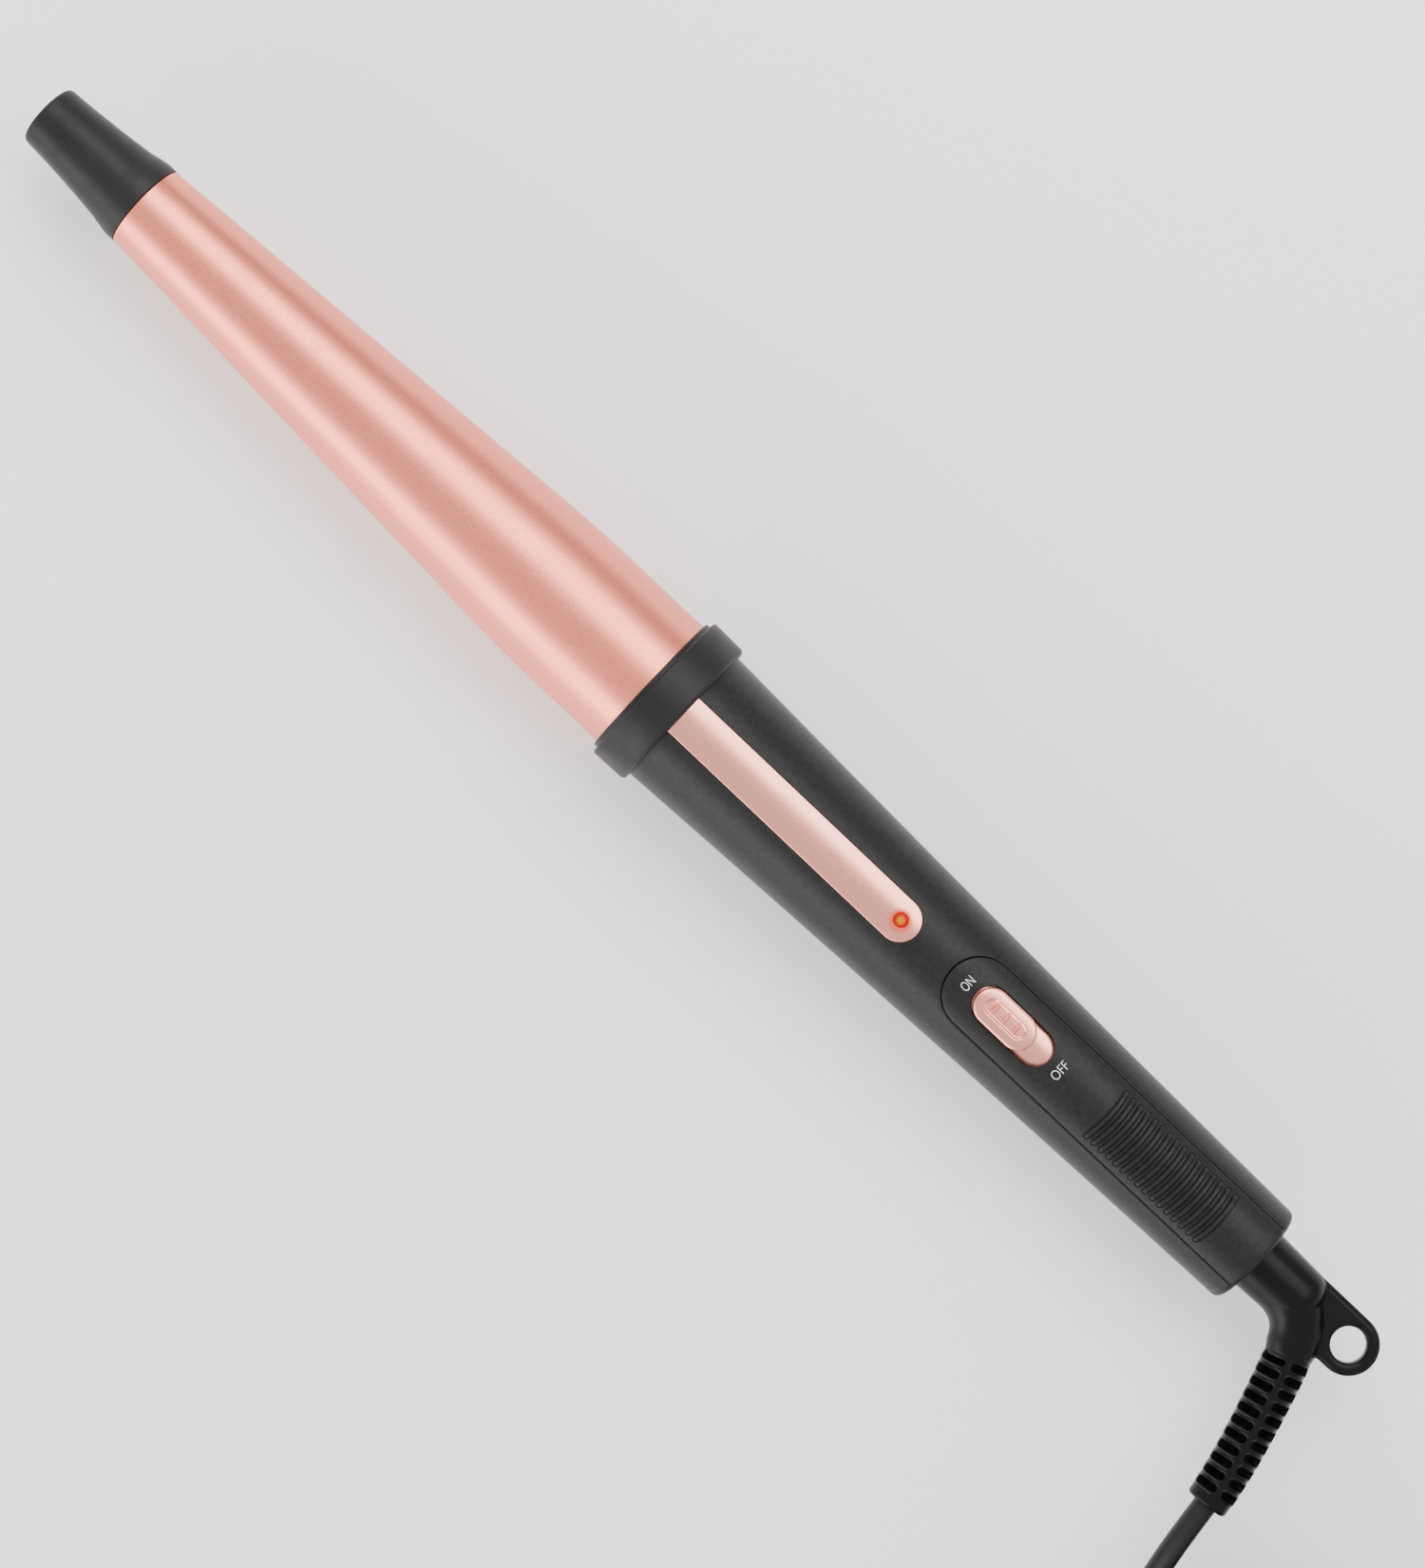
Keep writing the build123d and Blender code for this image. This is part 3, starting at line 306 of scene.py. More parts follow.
def rose_metal():
    """Satin rose-gold plating of the inlay and the slide knob."""
    material, tree, shader = new_material("rose_gold_plating", (0.97, 0.39, 0.30), 0.27, 1.0)
    tint(tree, shader, noise(tree, 4200, 2), (0.96, 0.36, 0.27), (0.98, 0.42, 0.335))
    uneven_gloss(tree, shader, noise(tree, 2400, 3), 0.24, 0.33)
    relief(tree, shader, noise(tree, 3800, 2), 0.15, 0.00001)
    return material


def soft_touch():
    """Warm black rubberised lacquer of the handle."""
    material, tree, shader = new_material(
        "soft_touch_lacquer", (0.0105, 0.0094, 0.0098), 0.42, Specular_IOR_Level=0.21
    )
    tint(tree, shader, noise(tree, 900, 6), (0.0085, 0.0074, 0.0078), (0.0125, 0.0114, 0.0118))
    uneven_gloss(tree, shader, noise(tree, 1500, 4), 0.38, 0.48)
    fine = relief(tree, shader, noise(tree, 4500, 3), 0.4, 0.00002)
    relief(tree, shader, noise(tree, 300, 2), 0.03, 0.0001, fine)
    return material


def from_lamp(tree, reach):
    """Distance from the middle of the pilot light, as 0 there and 1 at the reach in millimetres."""
    where = tree.nodes.new("ShaderNodeTexCoord")
    apart = tree.nodes.new("ShaderNodeVectorMath")
    apart.operation = "DISTANCE"
    apart.inputs[1].default_value = (lamp_x * mm, 0, lens_high.z * mm)
    tree.links.new(where.outputs["Object"], apart.inputs[0])
    return between(tree, apart.outputs["Value"], 0, 1, 0, reach * mm)


def lit_lens():
    """Pilot light: a yellow middle that turns orange-red at the rim."""
    material, tree, shader = new_material(
        "pilot_light", (0.02, 0.001, 0.0), 0.25, Specular_IOR_Level=0.12
    )
    glow = two_colors(tree, from_lamp(tree, 1.6), (1.0, 0.31, 0.0), (0.62, 0.006, 0.0), 0.25, 0.70)
    tree.links.new(glow, shader.inputs["Emission Color"])
    shader.inputs["Emission Strength"].default_value = 1.25
    return material


def plating_with_painted_glow():
    """The inlay's plating with a painted glow: its colour is painted redder close to the pilot light,
    standing in for the lamp's light on it.
    """
    material = rose_metal()
    material.name = "rose_gold_inlay_painted_glow"
    tree = material.node_tree
    shader = tree.nodes["Principled BSDF"]
    plain = shader.inputs["Base Color"].links[0].from_socket
    # painted glow: the plain colour is multiplied by red near the pilot light, as if lit by it
    glow = two_colors(tree, from_lamp(tree, 2.9), (1, 0.20, 0.12), (1, 1, 1), 0.5, 1.0)
    mix = tree.nodes.new("ShaderNodeMix")
    mix.data_type = "RGBA"
    mix.blend_type = "MULTIPLY"
    mix.inputs[0].default_value = 1
    tree.links.new(plain, mix.inputs[6])
    tree.links.new(glow, mix.inputs[7])
    tree.links.new(mix.outputs[2], shader.inputs["Base Color"])
    return material


def woven():
    """Black woven strap: crossing threads in colour and relief."""
    material, tree, shader = new_material("woven_strap", (0.02, 0.02, 0.02), 0.85, Sheen_Weight=0.4)
    threads = noise(tree, 2400, 2, (1, 1, 0.35))
    tint(tree, shader, threads, (0.012, 0.012, 0.012), (0.035, 0.035, 0.037))
    relief(tree, shader, threads, 0.7, 0.0002)
    return material


# ---------- mesh helpers


def piece(name, points, faces, body, slot, material, replaced, sharp=35):
    """Mesh object from points in millimetres, riding on a body in place of CAD nodes."""
    mesh = bpy.data.meshes.new(name)
    mesh.from_pydata([Vector(p) * mm for p in points], [], faces)
    work = bmesh.new()
    work.from_mesh(mesh)
    bmesh.ops.remove_doubles(work, verts=work.verts, dist=0.002 * mm)
    bmesh.ops.dissolve_degenerate(work, dist=0.0005 * mm, edges=work.edges)
    bmesh.ops.recalc_face_normals(work, faces=work.faces)
    work.to_mesh(mesh)
    work.free()
    mesh.materials.append(material)
    for polygon in mesh.polygons:
        polygon.use_smooth = True
    mesh.set_sharp_from_angle(angle=math.radians(sharp))
    made = add_object(name, mesh)
    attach(made, body)
    if replaced:
        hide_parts(*replaced)
    return made


def swung(centre, arm, angle):
    """End of an arm from a centre, turned by an angle."""
    cos, sin = math.cos(angle), math.sin(angle)
    return (centre.x + arm.x * cos - arm.y * sin, centre.y + arm.x * sin + arm.y * cos)


def rounded(corners, steps=6):
    """Outline through corners (x, y, radius), each rounded by an arc of its radius."""
    outline = []
    count = len(corners)
    for i, (x, y, radius) in enumerate(corners):
        here = Vector((x, y))
        back = Vector(corners[i - 1][:2]) - here
        ahead = Vector(corners[(i + 1) % count][:2]) - here
        if radius <= 0:
            outline.append((x, y))
            continue
        back.normalize()
        ahead.normalize()
        half = back.angle(ahead) / 2
        reach = radius / math.tan(half)
        centre = here + (back + ahead).normalized() * (radius / math.sin(half))
        first = here + back * reach - centre
        last = here + ahead * reach - centre
        turn = first.angle_signed(last)
        outline += [swung(centre, first, -turn * step / steps) for step in range(steps + 1)]
    return outline


def arc(start, middle, end, steps):
    """Points of the circle through three points, from start to end, without the last one."""
    (ax, ay), (bx, by), (cx, cy) = start, middle, end
    d = 2 * (ax * (by - cy) + bx * (cy - ay) + cx * (ay - by))
    a2, b2, c2 = ax * ax + ay * ay, bx * bx + by * by, cx * cx + cy * cy
    centre = Vector(
        (
            (a2 * (by - cy) + b2 * (cy - ay) + c2 * (ay - by)) / d,
            (a2 * (cx - bx) + b2 * (ax - cx) + c2 * (bx - ax)) / d,
        )
    )
    first, last = Vector(start) - centre, Vector(end) - centre
    turn = -first.angle_signed(last)
    return [swung(centre, first, turn * step / steps) for step in range(steps)]


def circle(x, y, radius, count):
    """Closed outline of a circle."""
    turns = [2 * math.pi * i / count for i in range(count)]
    return [(x + radius * math.cos(turn), y + radius * math.sin(turn)) for turn in turns]


def raised(outline, z):
    """Plan outline placed at a height."""
    return [(x, y, z) for x, y in outline]


def hoop(rings, joints=None):
    """Points and faces over rings of equal length, joined in turn and, by default, into a loop."""
    count = len(rings[0])
    faces = []
    for k in range(joints or len(rings)):
        a, b = k * count, (k + 1) % len(rings) * count
        for i in range(count):
            j = (i + 1) % count
            faces.append((a + i, a + j, b + j, b + i))
    return [point for ring in rings for point in ring], faces


def tube(rings):
    """Points and faces of a closed skin over rings of equal length, capped at both ends."""
    points, faces = hoop(rings, len(rings) - 1)
    count, last = len(rings[0]), len(points)
    faces.append(tuple(range(count)))
    faces.append(tuple(range(last - 1, last - count - 1, -1)))
    return points, faces


def turned(profile, segments=160):
    """Points and faces of a closed profile (x, radius) turned about the wand's axis."""
    rings = []
    for segment in range(segments):
        angle = 2 * math.pi * segment / segments
        across, rise = math.sin(angle), math.cos(angle)
        rings.append([(x, radius * across, axis_z + radius * rise) for x, radius in profile])
    return hoop(rings)


def joined(*meshes):
    """Several (points, faces) as one."""
    points, faces = [], []
    for some_points, some_faces in meshes:
        base = len(points)
        points += some_points
        faces += [tuple(i + base for i in face) for face in some_faces]
    return points, faces


def handle_radius(x):
    """Outer radius of the handle at x, the same parabola as the CAD shell's."""
    front, middle, rear = handle_radii
    pull = 2 * middle - (front + rear) / 2
    t = (handle_front - x) / handle_length
    return (1 - t) ** 2 * front + 2 * t * (1 - t) * pull + t * t * rear


def edge_drop(distance, radius):
    """How far a quarter-round edge falls at this distance inside it."""
    if distance >= radius:
        return 0.0
    return radius - math.sqrt(max(radius**2 - (radius - max(distance, 0.0)) ** 2, 0.0))


rear_round = 1.2


def on_handle(x, y, height):
    """Point on the handle's top side over plan position x, y, raised by height."""
    radius = handle_radius(x) - edge_drop(x - handle_rear, rear_round) + height
    return (x, y, axis_z + math.sqrt(max(radius**2 - y * y, 0.0)))


def band_distance(x, y, round_x, square_x, half_width):
    """Distance outside a straight band with one half-round end; negative inside."""
    along = (x - round_x) * math.copysign(1, round_x - square_x)
    return (math.hypot(along, y) if along > 0 else abs(y)) - half_width


def band_line(round_x, square_x, half_width, step=0.8):
    """Open outline of such a band, from its square end round and back."""
    way = math.copysign(1, round_x - square_x)
    length = abs(round_x - square_x)
    count = round(length / step)
    side = [(square_x + way * length * i / count, -half_width) for i in range(count)]
    turn_steps = max(12, round(math.pi * half_width / step))
    bend = [
        (
            round_x + way * half_width * math.cos(-math.pi / 2 + math.pi * i / turn_steps),
            half_width * math.sin(-math.pi / 2 + math.pi * i / turn_steps),
        )
        for i in range(turn_steps + 1)
    ]
    return side + bend + [(x, -y) for x, y in reversed(side)]


def stadium_distance(x, y, centre_x, length, width):
    """Distance outside a stadium along X; negative inside."""
    over = max(abs(x - centre_x) - (length - width) / 2, 0.0)
    return math.hypot(over, y) - width / 2


def stadium_lines(centre_x, length, width, sides, turn_steps, side_steps):
    """Closed outlines of a stadium along X, one at each distance inside its border."""
    half = (length - width) / 2
    loops = []
    for inset in sides:
        radius = width / 2 - inset
        loop = []
        for way in (1, -1):
            for i in range(turn_steps):
                angle = -math.pi / 2 + math.pi * i / turn_steps
                reach = half + radius * math.cos(angle)
                loop.append((centre_x + way * reach, way * radius * math.sin(angle)))
            for i in range(side_steps):
                loop.append((centre_x + way * half * (1 - 2 * i / side_steps), way * radius))
        loops.append(loop)
    return loops


def bent(start, corner, end, t):
    """Point of the quadratic curve from start to end that is drawn towards the corner."""
    return start * (1 - t) ** 2 + corner * 2 * t * (1 - t) + end * t * t


def closed(faces, above, below):
    """Closed skin: faces over the points above, turned over below, with walls between."""
    sides = {}
    for face in faces:
        for a, b in zip(face, face[1:] + face[:1]):
            key = (min(a, b), max(a, b))
            sides[key] = None if key in sides else (a, b)
    count = len(above)
    points = above + below
    skins = faces + [tuple(i + count for i in reversed(face)) for face in faces]
    skins += [(b, a, a + count, b + count) for a, b in filter(None, sides.values())]
    used = sorted({i for face in skins for i in face})
    place = {old: new for new, old in enumerate(used)}
    return [points[i] for i in used], [tuple(place[i] for i in face) for face in skins]


def skin(lines, loops, grid, keep, outside, inside):
    """Closed shell over a plan: constrained triangles, placed once outside and once inside."""
    flat, edges = [], []
    for line in lines:
        base = len(flat)
        flat += line
        edges += [(base + i, base + i + 1) for i in range(len(line) - 1)]
    for loop in loops:
        base = len(flat)
        flat += loop
        edges += [(base + i, base + (i + 1) % len(loop)) for i in range(len(loop))]
    flat += grid
    found, _, triangles, *_ = geometry.delaunay_2d_cdt([Vector(p) for p in flat], edges, [], 0, 1e-4)
    kept = []
    for triangle in triangles:
        x = sum(found[i].x for i in triangle) / 3
        y = sum(found[i].y for i in triangle) / 3
        if keep(x, y):
            kept.append(tuple(triangle))
    above = [outside(p.x, p.y) for p in found]
    below = [inside(p.x, p.y) for p in found]
    return closed(kept, above, below)


# ---------- barrel, tip and collar


def make_tip(material):
    """Cool tip: a hollow cap, slightly domed, flaring to a lip at the barrel."""
    front, rear = tip_front, barrel_front
    spigot, spigot_length, bore, cap_wall = 8.3, 9, 5.4, 4
    outline = arc((front, 0.0), (front - 0.12, 3.4), (front - 0.45, 6.0), 8)
    outline += rounded([(front - 0.45, 6.0, 0), (front - 0.55, 6.98, 1.1), (front - 9, 7.5, 0)])[1:-1]
    outline += arc((front - 2.2, 7.1), (front - 12, 7.78), (rear + 6, 8.85), 14)
    outline += arc((rear + 6, 8.85), (rear + 3.9, 9.3), (rear + 2.3, 9.58), 8)
    outline += [(rear + 2.05, 9.6), (rear + 1.4, 9.61), (rear + 0.3, 9.6), (rear + 0.08, 9.52)]
    outline += [(rear, 9.35), (rear, spigot), (rear - spigot_length, spigot)]
    outline += [(rear - spigot_length, bore), (front - cap_wall, bore), (front - cap_wall, 0.0)]
    piece("cool_tip_cap", *turned(outline), "wand", "tip_plastic", material, ["cool_tip"])


def make_barrel(material):
    """Barrel: thin tube, a cone that blends into a straight stretch before the collar."""
    front, rear = barrel_front, barrel_rear
    small, large, wall = 9.5, 16.0, 1.1
    bend_x, blend = 28.6, 9.0
    slope = (large - small) / (front - bend_x)
    outline = [(front - 0.25, small - 0.02), (front, small - 0.3), (front, small - wall)]
    outline += [(bend_x, large - wall), (rear, large - wall), (rear, large)]
    outline.append((bend_x - blend, large))
    for step in range(1, 16):
        along = 2 * blend * step / 16
        outline.append((bend_x - blend + along, large - slope * along**2 / (4 * blend)))
    outline.append((bend_x + blend, large - slope * blend))
    for step in range(1, 12):
        x = bend_x + blend + (front - 0.6 - bend_x - blend) * step / 12
        outline.append((x, large - slope * (x - bend_x)))
    piece("barrel_tube", *turned(outline, 192), "wand", "barrel_coating", material, ["heating_barrel"])


def make_collar(material):
    """Collar: flange with softly rounded edges, a low lip in front and a spigot behind."""
    lip, front, rear = collar_front, collar_front - 1, handle_front
    lip_radius, seat, bore, spigot_length = 16.85, 16.02, 12.2, 7
    outline = rounded(
        [
            (lip, seat, 0.1),
            (lip, lip_radius, 0.25),
            (front, lip_radius, 0.12),
            (front, 18.15, 0.55),
            (rear, 17.95, 0.95),
            (rear, 14.15, 0),
            (rear - spigot_length, 13.8, 0),
            (rear - spigot_length, bore, 0),
            (barrel_rear, bore, 0),
            (barrel_rear, seat, 0),
        ]
    )
    piece("collar_ring", *turned(outline, 192), "wand", "tip_plastic", material, ["collar"])


# ---------- handle

trim_half_width = 4.6
trim_round_x = trim_rear + trim_half_width
trim_gap = 0.04
trim_round = 0.18
trim_sink = 0.03
trim_thickness = 0.9
panel_half_width = 7.7
panel_round_x = panel_front - panel_half_width
groove = 0.22
edge_round = 0.2
beyond = 30.0
hub_radius = 7.08
end_wall = 3
board_posts = (-58.0, -118.0)
board_underside = -0.6


def insets(radius):
    """Distances inside an edge that its rounding needs points at."""
    return (0.0, 0.02, 0.06, 0.12, radius)


def columns(low, high, step):
    """Evenly spaced places, both ends among them."""
    count = round((high - low) / step)
    return [low + (high - low) * i / count for i in range(count + 1)]


def band_lines(round_x, square_x, half_width, radius):
    """Outlines inside a band for its rounded border, and the line across its square end."""
    lines = [band_line(round_x, square_x, half_width - inset) for inset in insets(radius)]
    lines.append([(square_x, y) for y in columns(-half_width, half_width, 0.7)])
    return lines


def spots(xs, ys, keep):
    """Points of a grid that pass a test."""
    return [(x, y) for x in xs for y in ys if keep(x, y)]


def rear_columns():
    """Places over the handle's rounded rear edge."""
    return [handle_rear + rear_round * (1 - math.cos(math.pi / 16 * i)) for i in range(8)]


def make_shell(material):
    """Handle shell: full tube, open for the panel and the inlay, with rounded borders."""
    scale = handle_radii[1]

    def gap(x, across):
        if abs(across / scale) > math.pi / 2:
            return beyond
        y = handle_radius(x) * math.sin(across / scale)
        panel = band_distance(x, y, panel_round_x, handle_rear, panel_half_width + groove)
        inlay = band_distance(x, y, trim_round_x, handle_front, trim_half_width + trim_gap)
        return min(panel, inlay)

    def unroll(line):
        return [(x, scale * math.asin(y / handle_radius(x))) for x, y in line]

    lines = []
    for inset in insets(edge_round):
        panel_half = panel_half_width + groove + inset
        trim_half = trim_half_width + trim_gap + inset / 2
        lines.append(unroll(band_line(panel_round_x, handle_rear, panel_half)))
        lines.append(unroll(band_line(trim_round_x, handle_front, trim_half)))
    edge = math.pi * scale
    grid = spots(
        rear_columns() + columns(handle_rear + rear_round, handle_front, 1.4),
        columns(-edge, edge, 0.9),
        lambda x, across: gap(x, across) > 0.7,
    )
    border = [(handle_rear, -edge), (handle_front, -edge), (handle_front, edge), (handle_rear, edge)]

    def place(x, across, height):
        radius = handle_radius(x) + height
        angle = across / scale
        return (x, radius * math.sin(angle), axis_z + radius * math.cos(angle))

    def outside(x, across):
        drop = edge_drop(gap(x, across), edge_round) + edge_drop(x - handle_rear, rear_round)
        return place(x, across, -drop)

    shell = skin(
        lines,
        [border],
        grid,
        lambda x, across: gap(x, across) > 0,
        outside,
        lambda x, across: place(x, across, -handle_wall),
    )
    inner = handle_radii[2] - handle_wall + 0.05
    wall = turned(
        rounded(
            [
                (handle_rear, hub_radius, 0.25),
                (handle_rear, inner, 0),
                (handle_rear + end_wall, inner, 0),
                (handle_rear + end_wall, hub_radius, 0),
            ]
        ),
        96,
    )
    posts = []
    for post_x in board_posts:
        posts.append(post(post_x, board_underside, handle_wall - 0.8 - handle_radius(post_x)))
    whole = joined(shell, wall, *posts)
    piece("handle_tube", *whole, "wand", "handle_plastic", material, ["handle_shell"])


def post(x, top, bottom):
    """Screw post: an upright hollow cylinder under the board."""
    outer, hole, bevel = 2.5, 1.1, 0.2
    profile = [(outer, bottom), (outer, top - bevel), (outer - bevel, top), (hole, top), (hole, bottom)]
    return hoop([raised(circle(x, 0, radius, 32), axis_z + height) for radius, height in profile])


def make_trim(material):
    """Inlay: thin strip flush with the handle, with a hole for the pilot light."""
    hole, hole_round = 1.55, 0.16

    def rim(x, y):
        return -band_distance(x, y, trim_round_x, handle_front, trim_half_width)

    def lamp(x, y):
        return math.hypot(x - lamp_x, y) - hole

    lines = band_lines(trim_round_x, handle_front, trim_half_width, trim_round)
    loops = [circle(lamp_x, 0, hole + inset, 40) for inset in (0.0, 0.03, 0.09, hole_round)]
    grid = spots(
        columns(trim_rear, handle_front, 1.0),
        columns(-trim_half_width, trim_half_width, 0.7),
        lambda x, y: rim(x, y) > 0.5 and lamp(x, y) > 0.5,
    )

    def outside(x, y):
        drop = edge_drop(rim(x, y), trim_round) + edge_drop(lamp(x, y), hole_round)
        return on_handle(x, y, -trim_sink - drop)

    strip = skin(
        lines,
        loops,
        grid,
        lambda x, y: rim(x, y) > 0 and lamp(x, y) > 0,
        outside,
        lambda x, y: on_handle(x, y, -trim_thickness),
    )
    piece("trim_inlay", *strip, "wand", "rose_metal", material, ["trim_strip"])


rib_count = 16
rib_pitch = 2.033
rib_first = -127.05
rib_length = 12.4
rib_width = 1.1
rib_rise = 0.5
rib_bow = 0.5
rib_soft = 0.12
rib_sides = (-0.3, -0.22, -0.12, 0.0, 0.12, 0.3)
foot_depth = 0.13
slot_x = -100.95
slot_length = 20.0
slot_width = 8.1
slot_round = 0.2
slot_border = 1.2
slot_wall = 1.1


def make_panel(material):
    """Switch panel: cover with rounded border, the slide's slot and sixteen grip ribs."""
    ribs = [rib_first - rib_pitch * i for i in range(rib_count)]

    def rim(x, y):
        return -band_distance(x, y, panel_round_x, handle_rear, panel_half_width)

    def slide(x, y):
        return stadium_distance(x, y, slot_x, slot_length, slot_width)

    def bow(y):
        return -rib_bow * (1 - (2 * y / rib_length) ** 2)

    def rib(x, y):
        straight = x - bow(y)
        nearest = min(ribs, key=lambda place: abs(place - straight))
        return -stadium_distance(y, straight - nearest, 0, rib_length, rib_width)

    lines = band_lines(panel_round_x, handle_rear, panel_half_width, edge_round)
    borders = (0.0, -0.03, -0.09, -slot_round)
    loops = stadium_lines(slot_x, slot_length, slot_width, borders, 20, 14)
    for place in ribs:
        for ring in stadium_lines(0, rib_length, rib_width, rib_sides, 8, 10):
            loops.append([(place + along + bow(across), across) for across, along in ring])
    grid = spots(
        rear_columns() + columns(handle_rear + rear_round, panel_front, 1.0),
        columns(-panel_half_width, panel_half_width, 0.7),
        lambda x, y: rib(x, y) < -0.45 and slide(x, y) > 0.5 and rim(x, y) > 0.6,
    )

    def outside(x, y):
        drop = edge_drop(rim(x, y), edge_round) + edge_drop(slide(x, y), slot_round)
        inner = rib(x, y)
        rise = rib_rise * smooth((inner + rib_soft) / (3 * rib_soft))
        foot = foot_depth * min(smooth((inner + 0.32) / rib_soft), smooth(-inner / rib_soft))
        return on_handle(x, y, rise - foot - drop)

    def under(x, y):
        return on_handle(x, y, -slot_wall if slide(x, y) < slot_border else -handle_wall)

    def keep(x, y):
        return rim(x, y) > 0 and slide(x, y) > 0

    cover = skin(lines, loops, grid, keep, outside, under)
    piece("switch_cover", *cover, "wand", "handle_plastic", material, ["switch_panel"])


letter_height = 2.0
letter_offset = -0.02
print_rise = 0.025
print_sink = 0.03


def fitted(values, size):
    """Values scaled to span a size, about zero."""
    low, high = min(values), max(values)
    return [(value - (low + high) / 2) * (size / (high - low)) for value in values]


def make_lettering(material):
    """ON in front of the slide and OFF behind it, printed on the panel."""
    for word, place, width in (("ON", -88.3, 2.85), ("OFF", -113.9, 4.0)):
        text = bpy.data.curves.new(word, "FONT")
        text.body = word
        text.resolution_u = 6
        text.offset = letter_offset
        holder = add_object(word, text)
        bpy.context.view_layer.update()
        flat = bpy.data.meshes.new_from_object(holder)
        across = fitted([vertex.co.x for vertex in flat.vertices], width)
        along = fitted([vertex.co.y for vertex in flat.vertices], letter_height)
        faces = [tuple(polygon.vertices) for polygon in flat.polygons]
        bpy.data.objects.remove(holder)
        above = [on_handle(place + x, -y, print_rise) for x, y in zip(along, across)]
        below = [on_handle(place + x, -y, -print_sink) for x, y in zip(along, across)]
        letters = closed(faces, above, below)
        piece("print_" + word.lower(), *letters, "wand", "white_nylon", material, [])


def make_lens(material):
    """Pilot light lens: a small dome in the inlay's hole."""
    radius, dome = 1.48, 0.3
    shoulder = lens_high.z - 0.02 - dome
    profile = [(radius, lens_low.z), (radius, shoulder)]
    for step in range(1, 6):
        angle = math.pi / 2 * step / 6
        profile.append((radius * math.cos(angle), shoulder + dome * math.sin(angle)))
    rings = [raised(circle(lamp_x, 0, r, 40), z) for r, z in profile]
    piece("pilot_lens", *tube(rings), "wand", "red_lens", material, ["led_lens"])


# ---------- slide knob

knob_x = -98.65
knob_length = 14.9
knob_width = 7.75
knob_rise = 1.3
knob_round = 0.6
knob_depth = 3.2
knob_crown = 0.025
pocket_length, pocket_width, pocket_depth = 10.4, 3.4, 0.5
bar_pitch, bar_half_length, bar_half_width, bar_rise = 2.9, 1.1, 0.5, 0.4
skirt_x, skirt_length, skirt_width = -98.9, 25.4, 9.8
skirt_top, skirt_bottom = 1.4, 2.2
fork_pitch, fork_half_x, fork_half_y, fork_z = 2.12, 0.6, 2, 7.2


def make_knob(material):
    """Slide knob: stadium thumb piece with a pocket and three cross bars, on a curved skirt."""
    top = axis_z + handle_radius(knob_x) + knob_rise
    bars = (knob_x - bar_pitch, knob_x, knob_x + bar_pitch)

    def rim(x, y):
        return -stadium_distance(x, y, knob_x, knob_length, knob_width)

    def well(x, y):
        return -stadium_distance(x, y, knob_x, pocket_length, pocket_width)

    def bar(x, y):
        nearest = min(abs(x - place) for place in bars)
        return min(bar_half_width - nearest, bar_half_length - abs(y))

    rims = (0.0, 0.03, 0.1, 0.2, 0.35, knob_round, 1.0)
    loops = stadium_lines(knob_x, knob_length, knob_width, rims, 20, 16)
    walls = (-0.2, -0.05, 0.1, 0.25, 0.4, 0.55)
    loops += stadium_lines(knob_x, pocket_length, pocket_width, walls, 20, 16)
    grid = spots(
        columns(knob_x - 6.9, knob_x + 6.9, 0.15),
        columns(-3.2, 3.2, 0.2),
        lambda x, y: rim(x, y) > 1.1 and abs(well(x, y) - 0.18) > 0.45,
    )

    def outside(x, y):
        drop = edge_drop(rim(x, y), knob_round)
        sink = pocket_depth * smooth((well(x, y) + 0.15) / 0.65)
        rise = bar_rise * smooth((bar(x, y) + 0.05) / 0.3)
        return (x, y, top - drop - knob_crown * y * y - sink + rise)

    def under(x, y):
        return (x, y, top - knob_depth)

    body = skin([], loops, grid, lambda x, y: rim(x, y) > 0, outside, under)

    def beside(x, y):
        return stadium_distance(x, y, skirt_x, skirt_length, skirt_width)

    skirt_loops = stadium_lines(skirt_x, skirt_length, skirt_width, (0.0, 1.0), 20, 18)
    skirt_columns = columns(skirt_x - 12, skirt_x + 12, 1.2)
    skirt_grid = spots(skirt_columns, columns(-4, 4, 0.8), lambda x, y: beside(x, y) < -1.5)
    skirt = skin(
        [],
        skirt_loops,
        skirt_grid,
        lambda x, y: beside(x, y) < 0,
        lambda x, y: on_handle(x, y, -skirt_top),
        lambda x, y: on_handle(x, y, -skirt_bottom),
    )
    fork = []
    for x in (knob_x - fork_pitch, knob_x + fork_pitch):
        low, high, half = x - fork_half_x, x + fork_half_x, fork_half_y
        outline = [(low, -half), (high, -half), (high, half), (low, half)]
        fork.append(tube([raised(outline, z) for z in (axis_z + fork_z, top + 0.2 - knob_depth)]))
    whole = joined(body, skirt, *fork)
    piece("slide_knob", *whole, "slider", "rose_metal", material, ["switch_knob"])


# ---------- swivel and bend relief


def ellipse(centre, across, half_width, half_height):
    """Upright ellipse of points about a centre, its width along a level direction."""
    ring = []
    for x, z in circle(0, 0, 1, 48):
        ring.append(tuple(centre + across * half_width * x + up * half_height * z))
    return ring


def swept(path, radii):
    """Round tube over a flat path of points in the wand's level plane, one radius each."""
    rings = []
    for i, here in enumerate(path):
        way = path[min(i + 1, len(path) - 1)] - path[max(i - 1, 0)]
        way.normalize()
        across = Vector((-way.y, way.x, 0))
        rings.append(ellipse(here, across, radii[i], radii[i]))
    return tube(rings)


